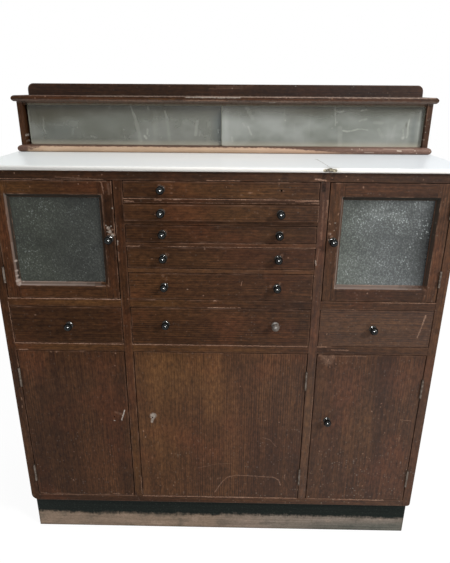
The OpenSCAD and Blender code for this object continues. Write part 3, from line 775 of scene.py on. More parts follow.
@dataclass(frozen=True)
class OakFinish:
    """Dark stained and varnished oak, ribbed by its open grain and worn on its edges."""

    deep: Colour = (0.027, 0.0105, 0.0042)
    body: Colour = (0.070, 0.0295, 0.0112)
    warm: Colour = (0.126, 0.0580, 0.0190)
    red: Colour = (0.092, 0.0290, 0.0115)
    haze: Colour = (0.30, 0.28, 0.29)
    bare: Colour = (0.38, 0.235, 0.165)
    rib_pitch: float = 0.0056
    roughness: float = 0.44
    specular: float = 0.05

    def material(
        self,
        name: str,
        tones: Tones,
        marks: Sequence[Mark],
        patches: Sequence[Patch],
        lips: Sequence[Mark],
        face: float,
        depth: float,
    ) -> Material:
        """Makes the finish for one piece.

        Args:
            name: The material's name.
            tones: How the piece differs from the others.
            marks: Scratches and chips that fall on it.
            patches: Broad changes of tone that fall on it.
            lips: Lines that follow the slopes behind the face: dark ones of painted shade, and pale
                ones of painted sheen and dust.
            face: Place of the plane that carries the marks, from front to back.
            depth: How far behind that plane they reach.

        Returns:
            The material.
        """
        b = Bench(name)
        place, grain = b.place(), b.grain()
        edge, seam, board = b.carried("edge"), b.carried("seam"), b.carried("board")
        fibre = b.noise(grain * (5.0, 330.0, 330.0), 1.0, 4.0, 0.62)
        pores = b.noise(grain * (26.0, 1150.0, 1150.0), 1.0, 2.0, 0.6)
        figure = b.noise(grain * (1.5, 17.0, 17.0), 1.0, 3.0, 0.5)
        patch = b.noise(place, 5.5, 4.0, 0.6)
        grime = b.noise(place, 34.0, 5.0, 0.65)
        across = grain.part(Axis.Y) + b.noise(grain * (2.0, 26.0, 26.0), 1.0, 2.0) * 0.006
        rib = (across * (2 * math.pi / self.rib_pitch)).sine() * 0.5 + 0.5
        shown = b.noise(grain * (1.2, 6.0, 6.0), 1.0, 3.0).ramp(0.40, 0.66, 0.12, 1.0)
        streak = fibre * 0.54 + rib * shown * 0.16 + figure * 0.44 - 0.12
        colour = b.mix(streak.ramp(0.22, 0.62), self.deep, self.body)
        gold = (streak.ramp(0.35, 0.85) * patch.ramp(0.42, 0.72, 0.15, 1.0)) * tones.warmth
        colour = b.mix(gold, colour, self.warm)
        ruddy = b.noise(place + (3.1, 0.7, 1.9), 7.0, 3.0).ramp(0.50, 0.70) * 0.34
        colour = b.mix(ruddy, colour, self.red)
        for spot in patches:
            tint = spot.mask(b, place) * (streak * 0.9 + 0.15)
            colour = b.mix(tint.least(1.0), colour, spot.shade.value)
        mottle = b.noise(place, 75.0, 6.0, 0.74)
        speck = b.noise(grain * (0.40, 1.0, 1.0), 170.0, 4.0, 0.72)
        colour = colour * (mottle * 0.75 + 0.62) * (speck * 2.5 - 0.25).most(0.22)
        colour = colour * ((patch * 0.50 + figure * 0.30 + board * 0.24 + 0.50) * tones.tone)
        colour = b.mix(pores.ramp(0.50, 0.34) * 0.42, colour, (0.012, 0.007, 0.005))
        # Painted sheen: a pale grey veil that grows to the right and low down, standing in for the
        # reflection of the light from the right
        painted_sheen = place.part(Axis.X).ramp(-0.20, 0.42, 0.003, 0.050)
        painted_sheen = painted_sheen + place.part(Axis.Z).ramp(0.62, 0.45, tones.grey, tones.grey + 0.020)
        colour = b.mix(painted_sheen * (mottle + 0.5), colour, self.haze)
        # Dirt gathers beside edges and joints
        dirt = edge.ramp(0.002, 0.0100, 0.13, 0.0) * grime.ramp(0.35, 0.6, 0.2, 1.0)
        crack = seam.ramp(0.0003, 0.0013, 0.42, 0.0)
        colour = b.mix(dirt.most(crack), colour, (0.016, 0.009, 0.006))
        # Bare wood along the edges, in runs, and small nicks all over
        runs = b.noise(grain * (22.0, 60.0, 60.0), 1.0, 4.0, 0.7)
        rubbed = edge.ramp(0.0004, 0.0042, 0.62, 0.0) * runs.ramp(0.42, 0.66, 0.15, 1.0)
        colour = b.mix(rubbed, colour, (0.115, 0.062, 0.040))
        easier = 0.2 * tones.wear
        lost = edge.ramp(0.0003, 0.0014, 1.0, 0.0) * runs.ramp(0.64 - easier, 0.80 - easier)
        lost = lost * (0.15 + 0.45 * tones.wear)
        near, pick = b.cells(grain * (0.55, 1.0, 1.0), 74.0)
        rare = pick.part(Axis.X).ramp(0.86, 0.96) * pick.part(Axis.Y)
        nicks = near.ramp(0.05, 0.17, 0.42, 0.0) * rare
        faint, choose = b.cells(place, 165.0)
        settled = place.part(Axis.Z).ramp(0.13, 0.42, 1.0, 0.30)
        settled = settled * place.part(Axis.X).ramp(-0.1, 0.35, 0.5, 1.0)
        dust = faint.ramp(0.10, 0.46, 0.30, 0.0) * choose.part(Axis.X).ramp(0.66, 0.97)
        dust = dust * grime.ramp(0.36, 0.60) * settled
        bared = lost.most(nicks)
        chalk, darkened = dust, None
        if marks:
            flat = b.shaken(place * (1.0, 0.0, 1.0), place, 210.0, (0.0042, 0.0, 0.0042))
            front = place.part(Axis.Y).ramp(face + depth, face + depth + MM, 1.0, 0.0)
            here = front * b.noise(place, 420.0, 3.0, 0.7).ramp(0.34, 0.56, 0.35, 1.0)
            drawn = {shade: mask * here for shade, mask in b.drawn(marks, flat).items()}
            bared = bared.most(drawn[BARE]) if BARE in drawn else bared
            chalk = chalk.most(drawn[CHALK]) if CHALK in drawn else chalk
            darkened = drawn.get(STAIN)
            for shade in (s for s in (GOLD, RUDDY, DUSTY, SCUFF, ASH) if s in drawn):
                colour = b.mix(drawn[shade], colour, shade.value)
        # Slopes of the door frames: painted shade on some, painted sheen with dust on others
        slope_light_and_shade = b.drawn(lips, place * (1.0, 0.0, 1.0))
        for shade in (s for s in (GLOOM, SCUFF) if s in slope_light_and_shade):
            streaky = fibre.ramp(0.25, 0.60, 0.45, 1.0)
            colour = b.mix(slope_light_and_shade[shade] * streaky, colour, shade.value)
        # The darkest marks are stains, and on the inner faces of the case sides they are painted
        # shade
        if darkened:
            colour = b.mix(darkened, colour, STAIN.value)
        bare = b.mix(grime.ramp(0.3, 0.7), BARE.value, (0.24, 0.13, 0.085))
        colour = b.mix(bared, colour, bare)
        colour = b.mix(chalk, colour, CHALK.value)
        rough = self.roughness + grime * 0.16 - rib * shown * 0.05 + bared.most(chalk) * 0.25
        height = fibre * 0.5 + pores * 0.7 + rib * shown * 0.5 - bared * 0.9
        return b.finish(
            Base_Color=colour,
            Roughness=rough,
            Specular_IOR_Level=self.specular,
            Normal=b.bump(height, 0.00018, 0.8),
        )


@dataclass(frozen=True)
class PlainFinish:
    """Unvarnished wood of the drawer boxes, stops and back panel, browned by age."""

    light: Colour = (0.34, 0.215, 0.115)
    dark: Colour = (0.20, 0.115, 0.055)
    grey: Colour = (0.10, 0.075, 0.055)

    def material(self, name: str) -> Material:
        """Makes the finish.

        Args:
            name: The material's name.

        Returns:
            The material.
        """
        b = Bench(name)
        place, grain = b.place(), b.grain()
        edge, seam, board = b.carried("edge"), b.carried("seam"), b.carried("board")
        fibre = b.noise(grain * (4.0, 240.0, 240.0), 1.0, 4.0, 0.6)
        figure = b.noise(grain * (1.6, 22.0, 22.0), 1.0, 3.0, 0.5)
        rings = (figure * 46.0).sine() * 0.5 + 0.5
        darkened = b.noise(place, 9.0, 5.0, 0.62)
        streak = fibre * 0.75 + rings * 0.13 + figure * 0.12
        colour = b.mix(streak.ramp(0.2, 0.78), self.dark, self.light) * (board * 0.42 + 0.74)
        colour = b.mix(darkened.ramp(0.52, 0.78) * 0.55, colour, self.grey)
        soiled = edge.ramp(0.001, 0.008, 0.45, 0.0).most(seam.ramp(0.0003, 0.002, 0.7, 0.0))
        colour = b.mix(soiled, colour, (0.07, 0.045, 0.03))
        height = fibre * 0.6 + rings * 0.2
        return b.finish(
            Base_Color=colour,
            Roughness=0.62 + darkened * 0.2,
            Specular_IOR_Level=0.3,
            Normal=b.bump(height, 0.0002, 0.7),
        )


@dataclass(frozen=True)
class PlinthFinish:
    """Dark paint over pale wood, with the lower half of the front scrubbed bare."""

    paint: Colour = (0.0062, 0.0094, 0.0080)
    tan: Colour = (0.250, 0.184, 0.136)
    grey: Colour = (0.232, 0.192, 0.160)
    bare_top: float = 0.0475

    def material(self, name: str) -> Material:
        """Makes the finish.

        Args:
            name: The material's name.

        Returns:
            The material.
        """
        b = Bench(name)
        place, grain = b.place(), b.grain()
        across, up = place.part(Axis.X), place.part(Axis.Z)
        fibre = b.noise(grain * (5.0, 210.0, 210.0), 1.0, 4.0, 0.62)
        broad = b.noise(place, 8.0, 4.0, 0.6)
        fine = b.noise(place * (1.0, 1.0, 2.0), 62.0, 5.0, 0.7)
        side = (across + broad * 0.5 - 0.25).ramp(-0.15, 0.35)
        wood = b.mix(side, self.tan, self.grey)
        blotch = b.noise(place * (1.0, 1.0, 1.6), 21.0, 4.0, 0.65)
        wood = b.mix(blotch.ramp(0.49, 0.66) * 0.50, wood, (0.085, 0.078, 0.062))
        wood = b.mix(blotch.ramp(0.42, 0.30) * 0.5, wood, (0.36, 0.27, 0.21))
        damp = (up - across * 0.03).ramp(0.030, 0.002) * across.ramp(0.05, 0.40)
        wood = b.mix(damp * 0.7, wood, (0.075, 0.085, 0.075))
        wood = wood * (fibre * 1.2 + 0.40) * (b.noise(place, 240.0, 3.0, 0.7) * 0.9 + 0.55)
        level = self.bare_top + (broad - 0.5) * 0.020 + (fine - 0.5) * 0.022 - across * 0.002
        smear = b.noise(place * (1.0, 1.0, 0.25), 150.0, 4.0, 0.7)
        level = level + (smear - 0.5) * 0.016
        worn = (level - up).ramp(-0.006, 0.009)
        front = place.part(Axis.Y).ramp(-0.150, -0.1485, 1.0, 0.0)
        sides = (fine + broad).ramp(1.0, 1.22) * 0.5
        worn = (worn * front).most(worn * sides)
        chips = fine.ramp(0.66, 0.74) * broad.ramp(0.45, 0.62) * 0.55
        worn = worn.most(chips * front)
        paint = b.mix(fibre.ramp(0.4, 0.75) * 0.5, self.paint, (0.015, 0.019, 0.016))
        flecks = b.noise(place * (1.0, 1.0, 1.6), 190.0, 3.0, 0.7)
        paint = b.mix(flecks.ramp(0.52, 0.74) * 0.5, paint, (0.050, 0.062, 0.052))
        colour = b.mix(worn, paint, wood)
        soiled = b.carried("edge").ramp(0.0006, 0.006, 0.4, 0.0) * worn
        soiled = soiled.most(up.ramp(0.0008, 0.0040, 0.7, 0.0))
        colour = b.mix(soiled, colour, (0.05, 0.045, 0.035))
        return b.finish(
            Base_Color=colour,
            Roughness=0.46 + worn * 0.32,
            Specular_IOR_Level=0.06,
            Normal=b.bump(fibre * 0.5 - worn * 0.6, 0.00025, 0.8),
        )


@dataclass(frozen=True)
class BareBaseFinish:
    """The board under the display case: stained at its ends, worn to bare wood along its front."""

    peach: Colour = (0.545, 0.395, 0.280)
    tan: Colour = (0.42, 0.290, 0.195)
    brown: Colour = (0.075, 0.036, 0.025)
    bare_from: float = -0.494
    bare_to: float = 0.292
    chalked: Tuple[Mark, ...] = (
        *strokes(CHALK, (3.4, 0.85, 430, 1008.5, 439, 1008), (2.4, 0.45, 350, 1004, 372, 1003.6)),
        *strokes(CHALK, (2, 0.3, 395, 1012.5, 470, 1012.5)),
        *dots(
            CHALK, (3.2, 0.7, 473, 1009, 478, 1003), (3, 0.6, 318, 1011.5, 343, 1010, 337, 1012.5)
        ),
    )

    def material(self, name: str) -> Material:
        """Makes the finish.

        Args:
            name: The material's name.

        Returns:
            The material.
        """
        b = Bench(name)
        place, grain = b.place(), b.grain()
        across, up = place.part(Axis.X), place.part(Axis.Z)
        fibre = b.noise(grain * (6.0, 300.0, 300.0), 1.0, 4.0, 0.62)
        ragged = b.noise(place * (1.0, 1.0, 3.0), 30.0, 5.0, 0.68)
        broad = b.noise(place, 7.0, 3.0)
        bright = b.mix((broad + ragged * 0.4).ramp(0.45, 0.85), self.peach, self.tan)
        far = across.ramp(-0.05, 0.24, 0.0, 0.85)
        bright = b.mix(far, bright, (0.43, 0.28, 0.195))
        bright = bright * (fibre * 0.45 + 0.78)
        wander = (ragged - 0.5) * 0.16
        inside = (across + wander).ramp(self.bare_from, self.bare_from + 0.03)
        inside = inside * (across + wander * 1.5).ramp(self.bare_to + 0.05, self.bare_to - 0.06)
        frayed = b.noise(place * (1.0, 1.0, 2.0), 130.0, 4.0, 0.7)
        top = 1.0155 - (frayed - 0.40).most(0.0) * 0.010 - across.ramp(0.10, 0.32) * 0.0095
        under = (top - up).ramp(0.0004, 0.0026)
        front = place.part(Axis.Y).ramp(0.0655, 0.0690, 1.0, 0.0)
        bared = inside * under * front
        specks = frayed.ramp(0.60, 0.70) * 0.7
        brown = b.mix(fibre.ramp(0.3, 0.8), self.brown, (0.15, 0.080, 0.052))
        # Lighter to the right: faded wood and painted sheen on the rounded front
        fade_and_sheen = across.ramp(0.22, 0.36, 0.0, 0.55) * ragged.ramp(0.30, 0.60, 0.5, 1.0)
        brown = b.mix(fade_and_sheen, brown, (0.23, 0.140, 0.110))
        brown = brown * (b.noise(place * (0.5, 1.0, 1.0), 300.0, 4.0, 0.7) * 0.9 + 0.55)
        brown = b.mix(specks * front, brown, (0.46, 0.33, 0.24))
        pale = b.drawn(self.chalked, place * (1.0, 0.0, 1.0))[CHALK]
        brown = b.mix(pale * front, brown, (0.52, 0.43, 0.35))
        colour = b.mix(bared, brown, bright)
        colour = b.mix(up.ramp(0.9990, 1.0006, 0.6, 0.0), colour, (0.10, 0.06, 0.04))
        return b.finish(
            Base_Color=colour,
            Roughness=0.5 + bared * 0.25,
            Specular_IOR_Level=0.3,
            Normal=b.bump(fibre + bared * 0.3, 0.0002, 0.7),
        )


@dataclass(frozen=True)
class MilkGlassFinish:
    """Opaque white glass with grey dirt in a crack and round a chip."""

    white: Colour = (0.850, 0.855, 0.845)
    dirt: Colour = (0.20, 0.16, 0.10)

    def material(self, name: str) -> Material:
        """Makes the finish of the polished face.

        Args:
            name: The material's name.

        Returns:
            The material.
        """
        b = Bench(name)
        place = b.place()
        cloud = b.noise(place, 7.0, 4.0, 0.6)
        smear = b.noise(place * (1.0, 3.0, 1.0), 26.0, 4.0, 0.6)
        colour = b.mix(cloud.ramp(0.40, 0.75) * 0.6, self.white, (0.805, 0.825, 0.840))
        colour = b.mix(place.part(Axis.X).ramp(-0.05, 0.5), colour, (0.735, 0.77, 0.80))
        colour = b.mix(place.part(Axis.X).ramp(-0.1, -0.5, 0.0, 0.7), colour, (0.79, 0.835, 0.835))
        colour = b.mix(smear.ramp(0.58, 0.80) * 0.18, colour, (0.73, 0.73, 0.71))
        flat = b.shaken(place * (1.0, 1.0, 0.0), place, 90.0, (0.006, 0.006, 0.0))
        crack = b.gap(flat, (0.226, -0.176, 0.0), (-0.008, 0.134, 0.0))
        crack = crack.ramp(0.0004, 0.0018, 0.55, 0.0)
        spot = flat.far((0.217, -0.040, 0.0)).ramp(0.0015, 0.0045, 0.75, 0.0)
        halo = flat.far((0.228, -0.172, 0.0)).ramp(0.006, 0.024, 0.5, 0.0) * smear
        fore = place.part(Axis.Y).ramp(-0.1796, -0.1740, 1.0, 0.0)
        colour = b.mix(fore, colour, (0.850, 0.838, 0.800))
        colour = b.mix(crack.most(spot).most(halo), colour, self.dirt)
        return b.finish(
            Base_Color=colour,
            Roughness=0.26 + cloud * 0.08,
            Specular_IOR_Level=0.06,
        )

    def broken(self, name: str) -> Material:
        """Makes the finish of the chip's broken face.

        Args:
            name: The material's name.

        Returns:
            The material.
        """
        b = Bench(name)
        place = b.place()
        dirt = b.noise(place, 160.0, 4.0, 0.7)
        colour = b.mix(dirt.ramp(0.40, 0.56), (0.055, 0.045, 0.034), (0.50, 0.45, 0.32))
        return b.finish(
            Base_Color=colour,
            Roughness=0.4 + dirt * 0.3,
            Normal=b.bump(dirt, 0.0006, 1.0),
        )


@dataclass(frozen=True)
class CaseGlassFinish:
    """Old clear glass under a film of dirt, wiped in streaks, with pale ground edges."""

    film: Colour
    veil: Colour
    cover: float
    streaks: Tuple[Mark, ...]
    clouds: Tuple[Patch, ...]

    def material(self, name: str, turn: float) -> Material:
        """Makes the finish.

        Args:
            name: The material's name.
            turn: Shifts the pattern, so that no two panes are alike.

        Returns:
            The material.
        """
        b = Bench(name)
        plain = b.place()
        up = plain.part(Axis.Z)
        place = plain + (turn, turn * 0.7, turn * 0.3)
        cloud = b.noise(place * (1.0, 1.0, 1.7), 7.5, 3.0, 0.55)
        wiped = b.noise(place * (7.0, 1.0, 0.9), 9.0, 3.0, 0.55)
        swirl = b.noise(place + (b.noise_field(place, 6.0) * 0.05), 22.0, 3.0, 0.55)
        near, pick = b.cells(place * (1.0, 1.0, 0.7), 95.0)
        fleck = near.ramp(0.04, 0.16, 0.6, 0.0) * pick.part(Axis.X).ramp(0.94, 0.98)
        streak = wiped.ramp(0.58, 0.78) * 0.09 + swirl.ramp(0.56, 0.80) * 0.14
        soft = b.shaken(plain * (1.0, 0.0, 1.0), plain, 42.0, (0.007, 0.0, 0.007))
        colour = b.mix(cloud.ramp(0.36, 0.68), self.film, self.veil)
        for patch in self.clouds:
            mask = patch.mask(b, plain) * (swirl * 0.8 + 0.6)
            colour = b.mix(mask.least(1.0), colour, patch.shade.value)
        # Painted shadow: the top of the pane darkens under the case top, with some dirt
        shaded = up.ramp(1.070, 1.110, 0.0, 0.80)
        colour = b.mix(shaded, colour, (0.070, 0.064, 0.045))
        thin = b.noise(plain * (1.0, 1.0, 0.5), 160.0, 3.0, 0.6).ramp(0.25, 0.60, 0.26, 0.62)
        streak = streak.most(b.drawn(self.streaks, soft)[BARE] * thin)
        colour = b.mix(streak, colour, (0.44, 0.45, 0.40))
        low = up.ramp(1.0150, 1.0300, 0.62, 0.0)
        colour = b.mix(low, colour, (0.42, 0.385, 0.300))
        rim = b.carried("edge").ramp(0.0004, 0.0013, 0.85, 0.0)
        colour = b.mix(rim, colour, (0.42, 0.43, 0.33))
        colour = b.mix(fleck, colour, (0.55, 0.54, 0.46))
        cover = (self.cover + cloud * 0.22 + streak * 0.3 + low * 0.4).most(fleck * 0.95)
        return b.finish(
            Base_Color=colour,
            Roughness=0.16 + cloud * 0.12,
            Alpha=cover.most(rim * 0.9).least(1.0),
        )


@dataclass(frozen=True)
class ObscuredGlassFinish:
    """Rolled obscured glass: a dense hammered stipple over a dark cupboard."""

    hollow: Colour
    crest: Colour
    glint: float
    olive_to: float
    # bright: patches painted lighter and with more glints, as painted sheen
    bright: Tuple[Patch, ...]
    # dim: painted shadow of the frame along the top and the sides, and darker patches
    dim: Tuple[Patch, ...]

    def material(self, name: str) -> Material:
        """Makes the finish.

        Args:
            name: The material's name.

        Returns:
            The material.
        """
        b = Bench(name)
        place = b.place()
        warped = b.shaken(place, place, 150.0, 0.005)
        near, pick = b.cells(warped, 250.0)
        fine = b.noise(place, 430.0, 4.0, 0.7)
        broad = b.noise(place + (0.3, 0.0, 0.8), 9.0, 3.0, 0.6)
        dapple = (1.0 - near.ramp(0.0, 0.75)) * (pick.part(Axis.X) * 0.6 + 0.4)
        dash = b.noise(warped * (1.0, 1.0, 0.6), 230.0, 3.0, 0.6).ramp(0.34, 0.68)
        value = dapple * 0.36 + fine * 0.44 + dash * 0.18
        colour = b.mix(value.ramp(0.20, 0.72), self.hollow, self.crest)
        cloud = b.noise(place, 34.0, 4.0, 0.6)
        colour = colour * (broad * 1.0 + cloud * 0.55 + 0.22)
        drift = b.noise(place + (0.9, 0.0, 0.2), 9.0, 3.0, 0.55) * 0.16 - 0.08
        cooler = (place.part(Axis.X) + drift).ramp(self.olive_to - 0.10, self.olive_to + 0.10)
        colour = colour * b.mix(cooler, (1.0, 1.03, 0.93), (1.0, 1.0, 1.03))
        spark = near.ramp(0.14, 0.50, 1.0, 0.0) * pick.part(Axis.Y).ramp(0.55, 0.90)
        glints = spark * cloud.ramp(0.50, 0.68) * self.glint
        for patch in self.bright:
            mask = patch.mask(b, place)
            colour = colour * (mask * 0.35 + 1.0)
            glints = glints.most(spark * mask * cloud.ramp(0.36, 0.56) * 1.1).least(1.0)
        for patch in self.dim:
            colour = colour * (1.0 - patch.mask(b, place))
        colour = b.mix(glints, colour, (0.46, 0.51, 0.51))
        height = near.ramp(0.0, 0.7, 1.0, 0.0) + fine * 0.3
        return b.finish(
            Base_Color=colour,
            Roughness=0.30,
            Specular_IOR_Level=0.25,
            Alpha=0.90,
            Normal=b.bump(height, 0.0008, 0.8),
        )


@dataclass(frozen=True)
class KnobFinish:
    """Black glossy knobs, dusty where hands don't polish them."""

    black: Colour = (0.006, 0.007, 0.007)
    dull: Colour = (0.125, 0.102, 0.085)
    worn: Colour = (0.040, 0.038, 0.034)

    def material(self, name: str, dullness: float = 0.0) -> Material:
        """Makes the finish.

        Args:
            name: The material's name.
            dullness: Share of the polish that the knobs right of the middle have lost.

        Returns:
            The material.
        """
        b = Bench(name)
        place = b.place()
        dust = b.noise(place, 260.0, 4.0, 0.65)
        scuff = b.noise(place, 900.0, 3.0, 0.7)
        film = dust.ramp(0.52, 0.75) * 0.16 + scuff.ramp(0.62, 0.78) * 0.12
        colour = b.mix(film, self.black, (0.07, 0.065, 0.058))
        foot = b.carried("foot") * dust.ramp(0.30, 0.60, 0.35, 1.0)
        colour = b.mix(foot, colour, self.worn)
        rough = 0.11 + dust * 0.03
        if dullness > 0.0:
            lost = place.part(Axis.X).above(0.0) * dullness
            colour = b.mix(lost * dust.ramp(0.25, 0.60, 0.35, 1.0), colour, self.dull)
            rough = rough + lost * 0.45
        return b.finish(Base_Color=colour, Roughness=rough, Specular_IOR_Level=0.17)


@dataclass(frozen=True)
class SteelFinish:
    """Old steel of hinges, screws, nuts and nails, dulled and spotted with rust."""

    bright: Colour = (0.20, 0.165, 0.135)
    dark: Colour = (0.070, 0.050, 0.038)
    rust: Colour = (0.10, 0.042, 0.020)

    def material(self, name: str) -> Material:
        """Makes the finish.

        Args:
            name: The material's name.

        Returns:
            The material.
        """
        b = Bench(name)
        place = b.place()
        broad = b.noise(place, 130.0, 4.0, 0.65)
        fine = b.noise(place * (1.0, 1.0, 0.2), 1400.0, 3.0, 0.6)
        spot = b.noise(place, 420.0, 5.0, 0.7).ramp(0.58, 0.68)
        colour = b.mix(broad.ramp(0.35, 0.68), self.bright, self.dark)
        colour = b.mix(spot * 0.75, colour, self.rust)
        return b.finish(
            Base_Color=colour,
            Metallic=0.85 - spot * 0.7,
            Roughness=0.36 + broad * 0.2 + spot * 0.3,
            Normal=b.bump(fine + spot * 0.6, 0.00006, 0.7),
        )


# ---------------------------------------------------------------- boards


def node_of(name: str) -> bpy.types.Object:
    """The CAD node's object."""
    return frame["nodes"][name]


def placed(name: str, data: object) -> bpy.types.Object:
    """Puts a new object in the scene.

    Args:
        name: The object's name.
        data: Its mesh, lamp or camera.

    Returns:
        The object.
    """
    made = bpy.data.objects.new(name, data)
    bpy.context.scene.collection.objects.link(made)
    return made


def mesh_of(bm: bmesh.types.BMesh, name: str, finish: Material) -> bpy.types.Mesh:
    """Turns a working mesh into a mesh with one finish.

    Args:
        bm: The working mesh, which is used up.
        name: The mesh's name.
        finish: Its material.

    Returns:
        The mesh.
    """
    mesh = bpy.data.meshes.new(name)
    bm.to_mesh(mesh)
    bm.free()
    mesh.materials.append(finish)
    return mesh


def dressed(mesh: bpy.types.Mesh, body: str, slot: Slot, *nodes: str) -> bpy.types.Object:
    """Puts a finished mesh in the scene.

    Args:
        mesh: The piece's mesh, in its place, with its materials.
        body: The CAD body that it rides on.
        slot: The record's slot for it; not used.
        *nodes: The CAD nodes that it stands for.

    Returns:
        The piece.
    """
    piece = placed(mesh.name, mesh)
    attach(piece, body)
    if nodes:
        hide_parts(*nodes)
    LOG.info("%s: %d faces, on %s", piece.name, len(mesh.polygons), body)
    return piece


@dataclass
class Solid:
    """One board of a CAD node, with what was found on it."""

    verts: List[bmesh.types.BMVert]
    low: Vector
    high: Vector
    worn: List[Tuple[Vector, Vector]] = field(default_factory=list)
    joined: List[Tuple[Vector, Vector]] = field(default_factory=list)

    def middle(self) -> Vector:
        """The middle of its box."""
        return (self.low + self.high) / 2

    def span(self) -> Vector:
        """The size of its box."""
        return self.high - self.low


def merged(name: str) -> bmesh.types.BMesh:
    """Copies and mends a CAD node's mesh.

    Args:
        name: The CAD node.

    Returns:
        Its mesh, closed, with each plane as one face.
    """
    bm = bmesh.new()
    bm.from_mesh(node_of(name).data)
    for layer in list(bm.loops.layers.uv.values()):
        bm.loops.layers.uv.remove(layer)
    bmesh.ops.remove_doubles(bm, verts=bm.verts, dist=WELD)
    bmesh.ops.dissolve_limit(bm, angle_limit=FLAT, verts=bm.verts, edges=bm.edges)
    return bm


def solids_of(bm: bmesh.types.BMesh) -> List[Solid]:
    """Finds the separate closed pieces of a mesh.

    Args:
        bm: The mesh.

    Returns:
        Its pieces, in the order of their first points.
    """
    seen, found = set(), []
    bm.verts.ensure_lookup_table()
    for first in bm.verts:
        if first in seen:
            continue
        seen.add(first)
        stack, members = [first], []
        while stack:
            vert = stack.pop()
            members.append(vert)
            for other in (edge.other_vert(vert) for edge in vert.link_edges):
                if other not in seen:
                    seen.add(other)
                    stack.append(other)
        spread = np.array([v.co for v in members])
        found.append(Solid(members, Vector(spread.min(0)), Vector(spread.max(0))))
    return found


def narrowness(face: bmesh.types.BMFace) -> float:
    """About how wide a long face is."""
    return 2 * face.calc_area() / max(sum(e.calc_length() for e in face.edges), TINY)


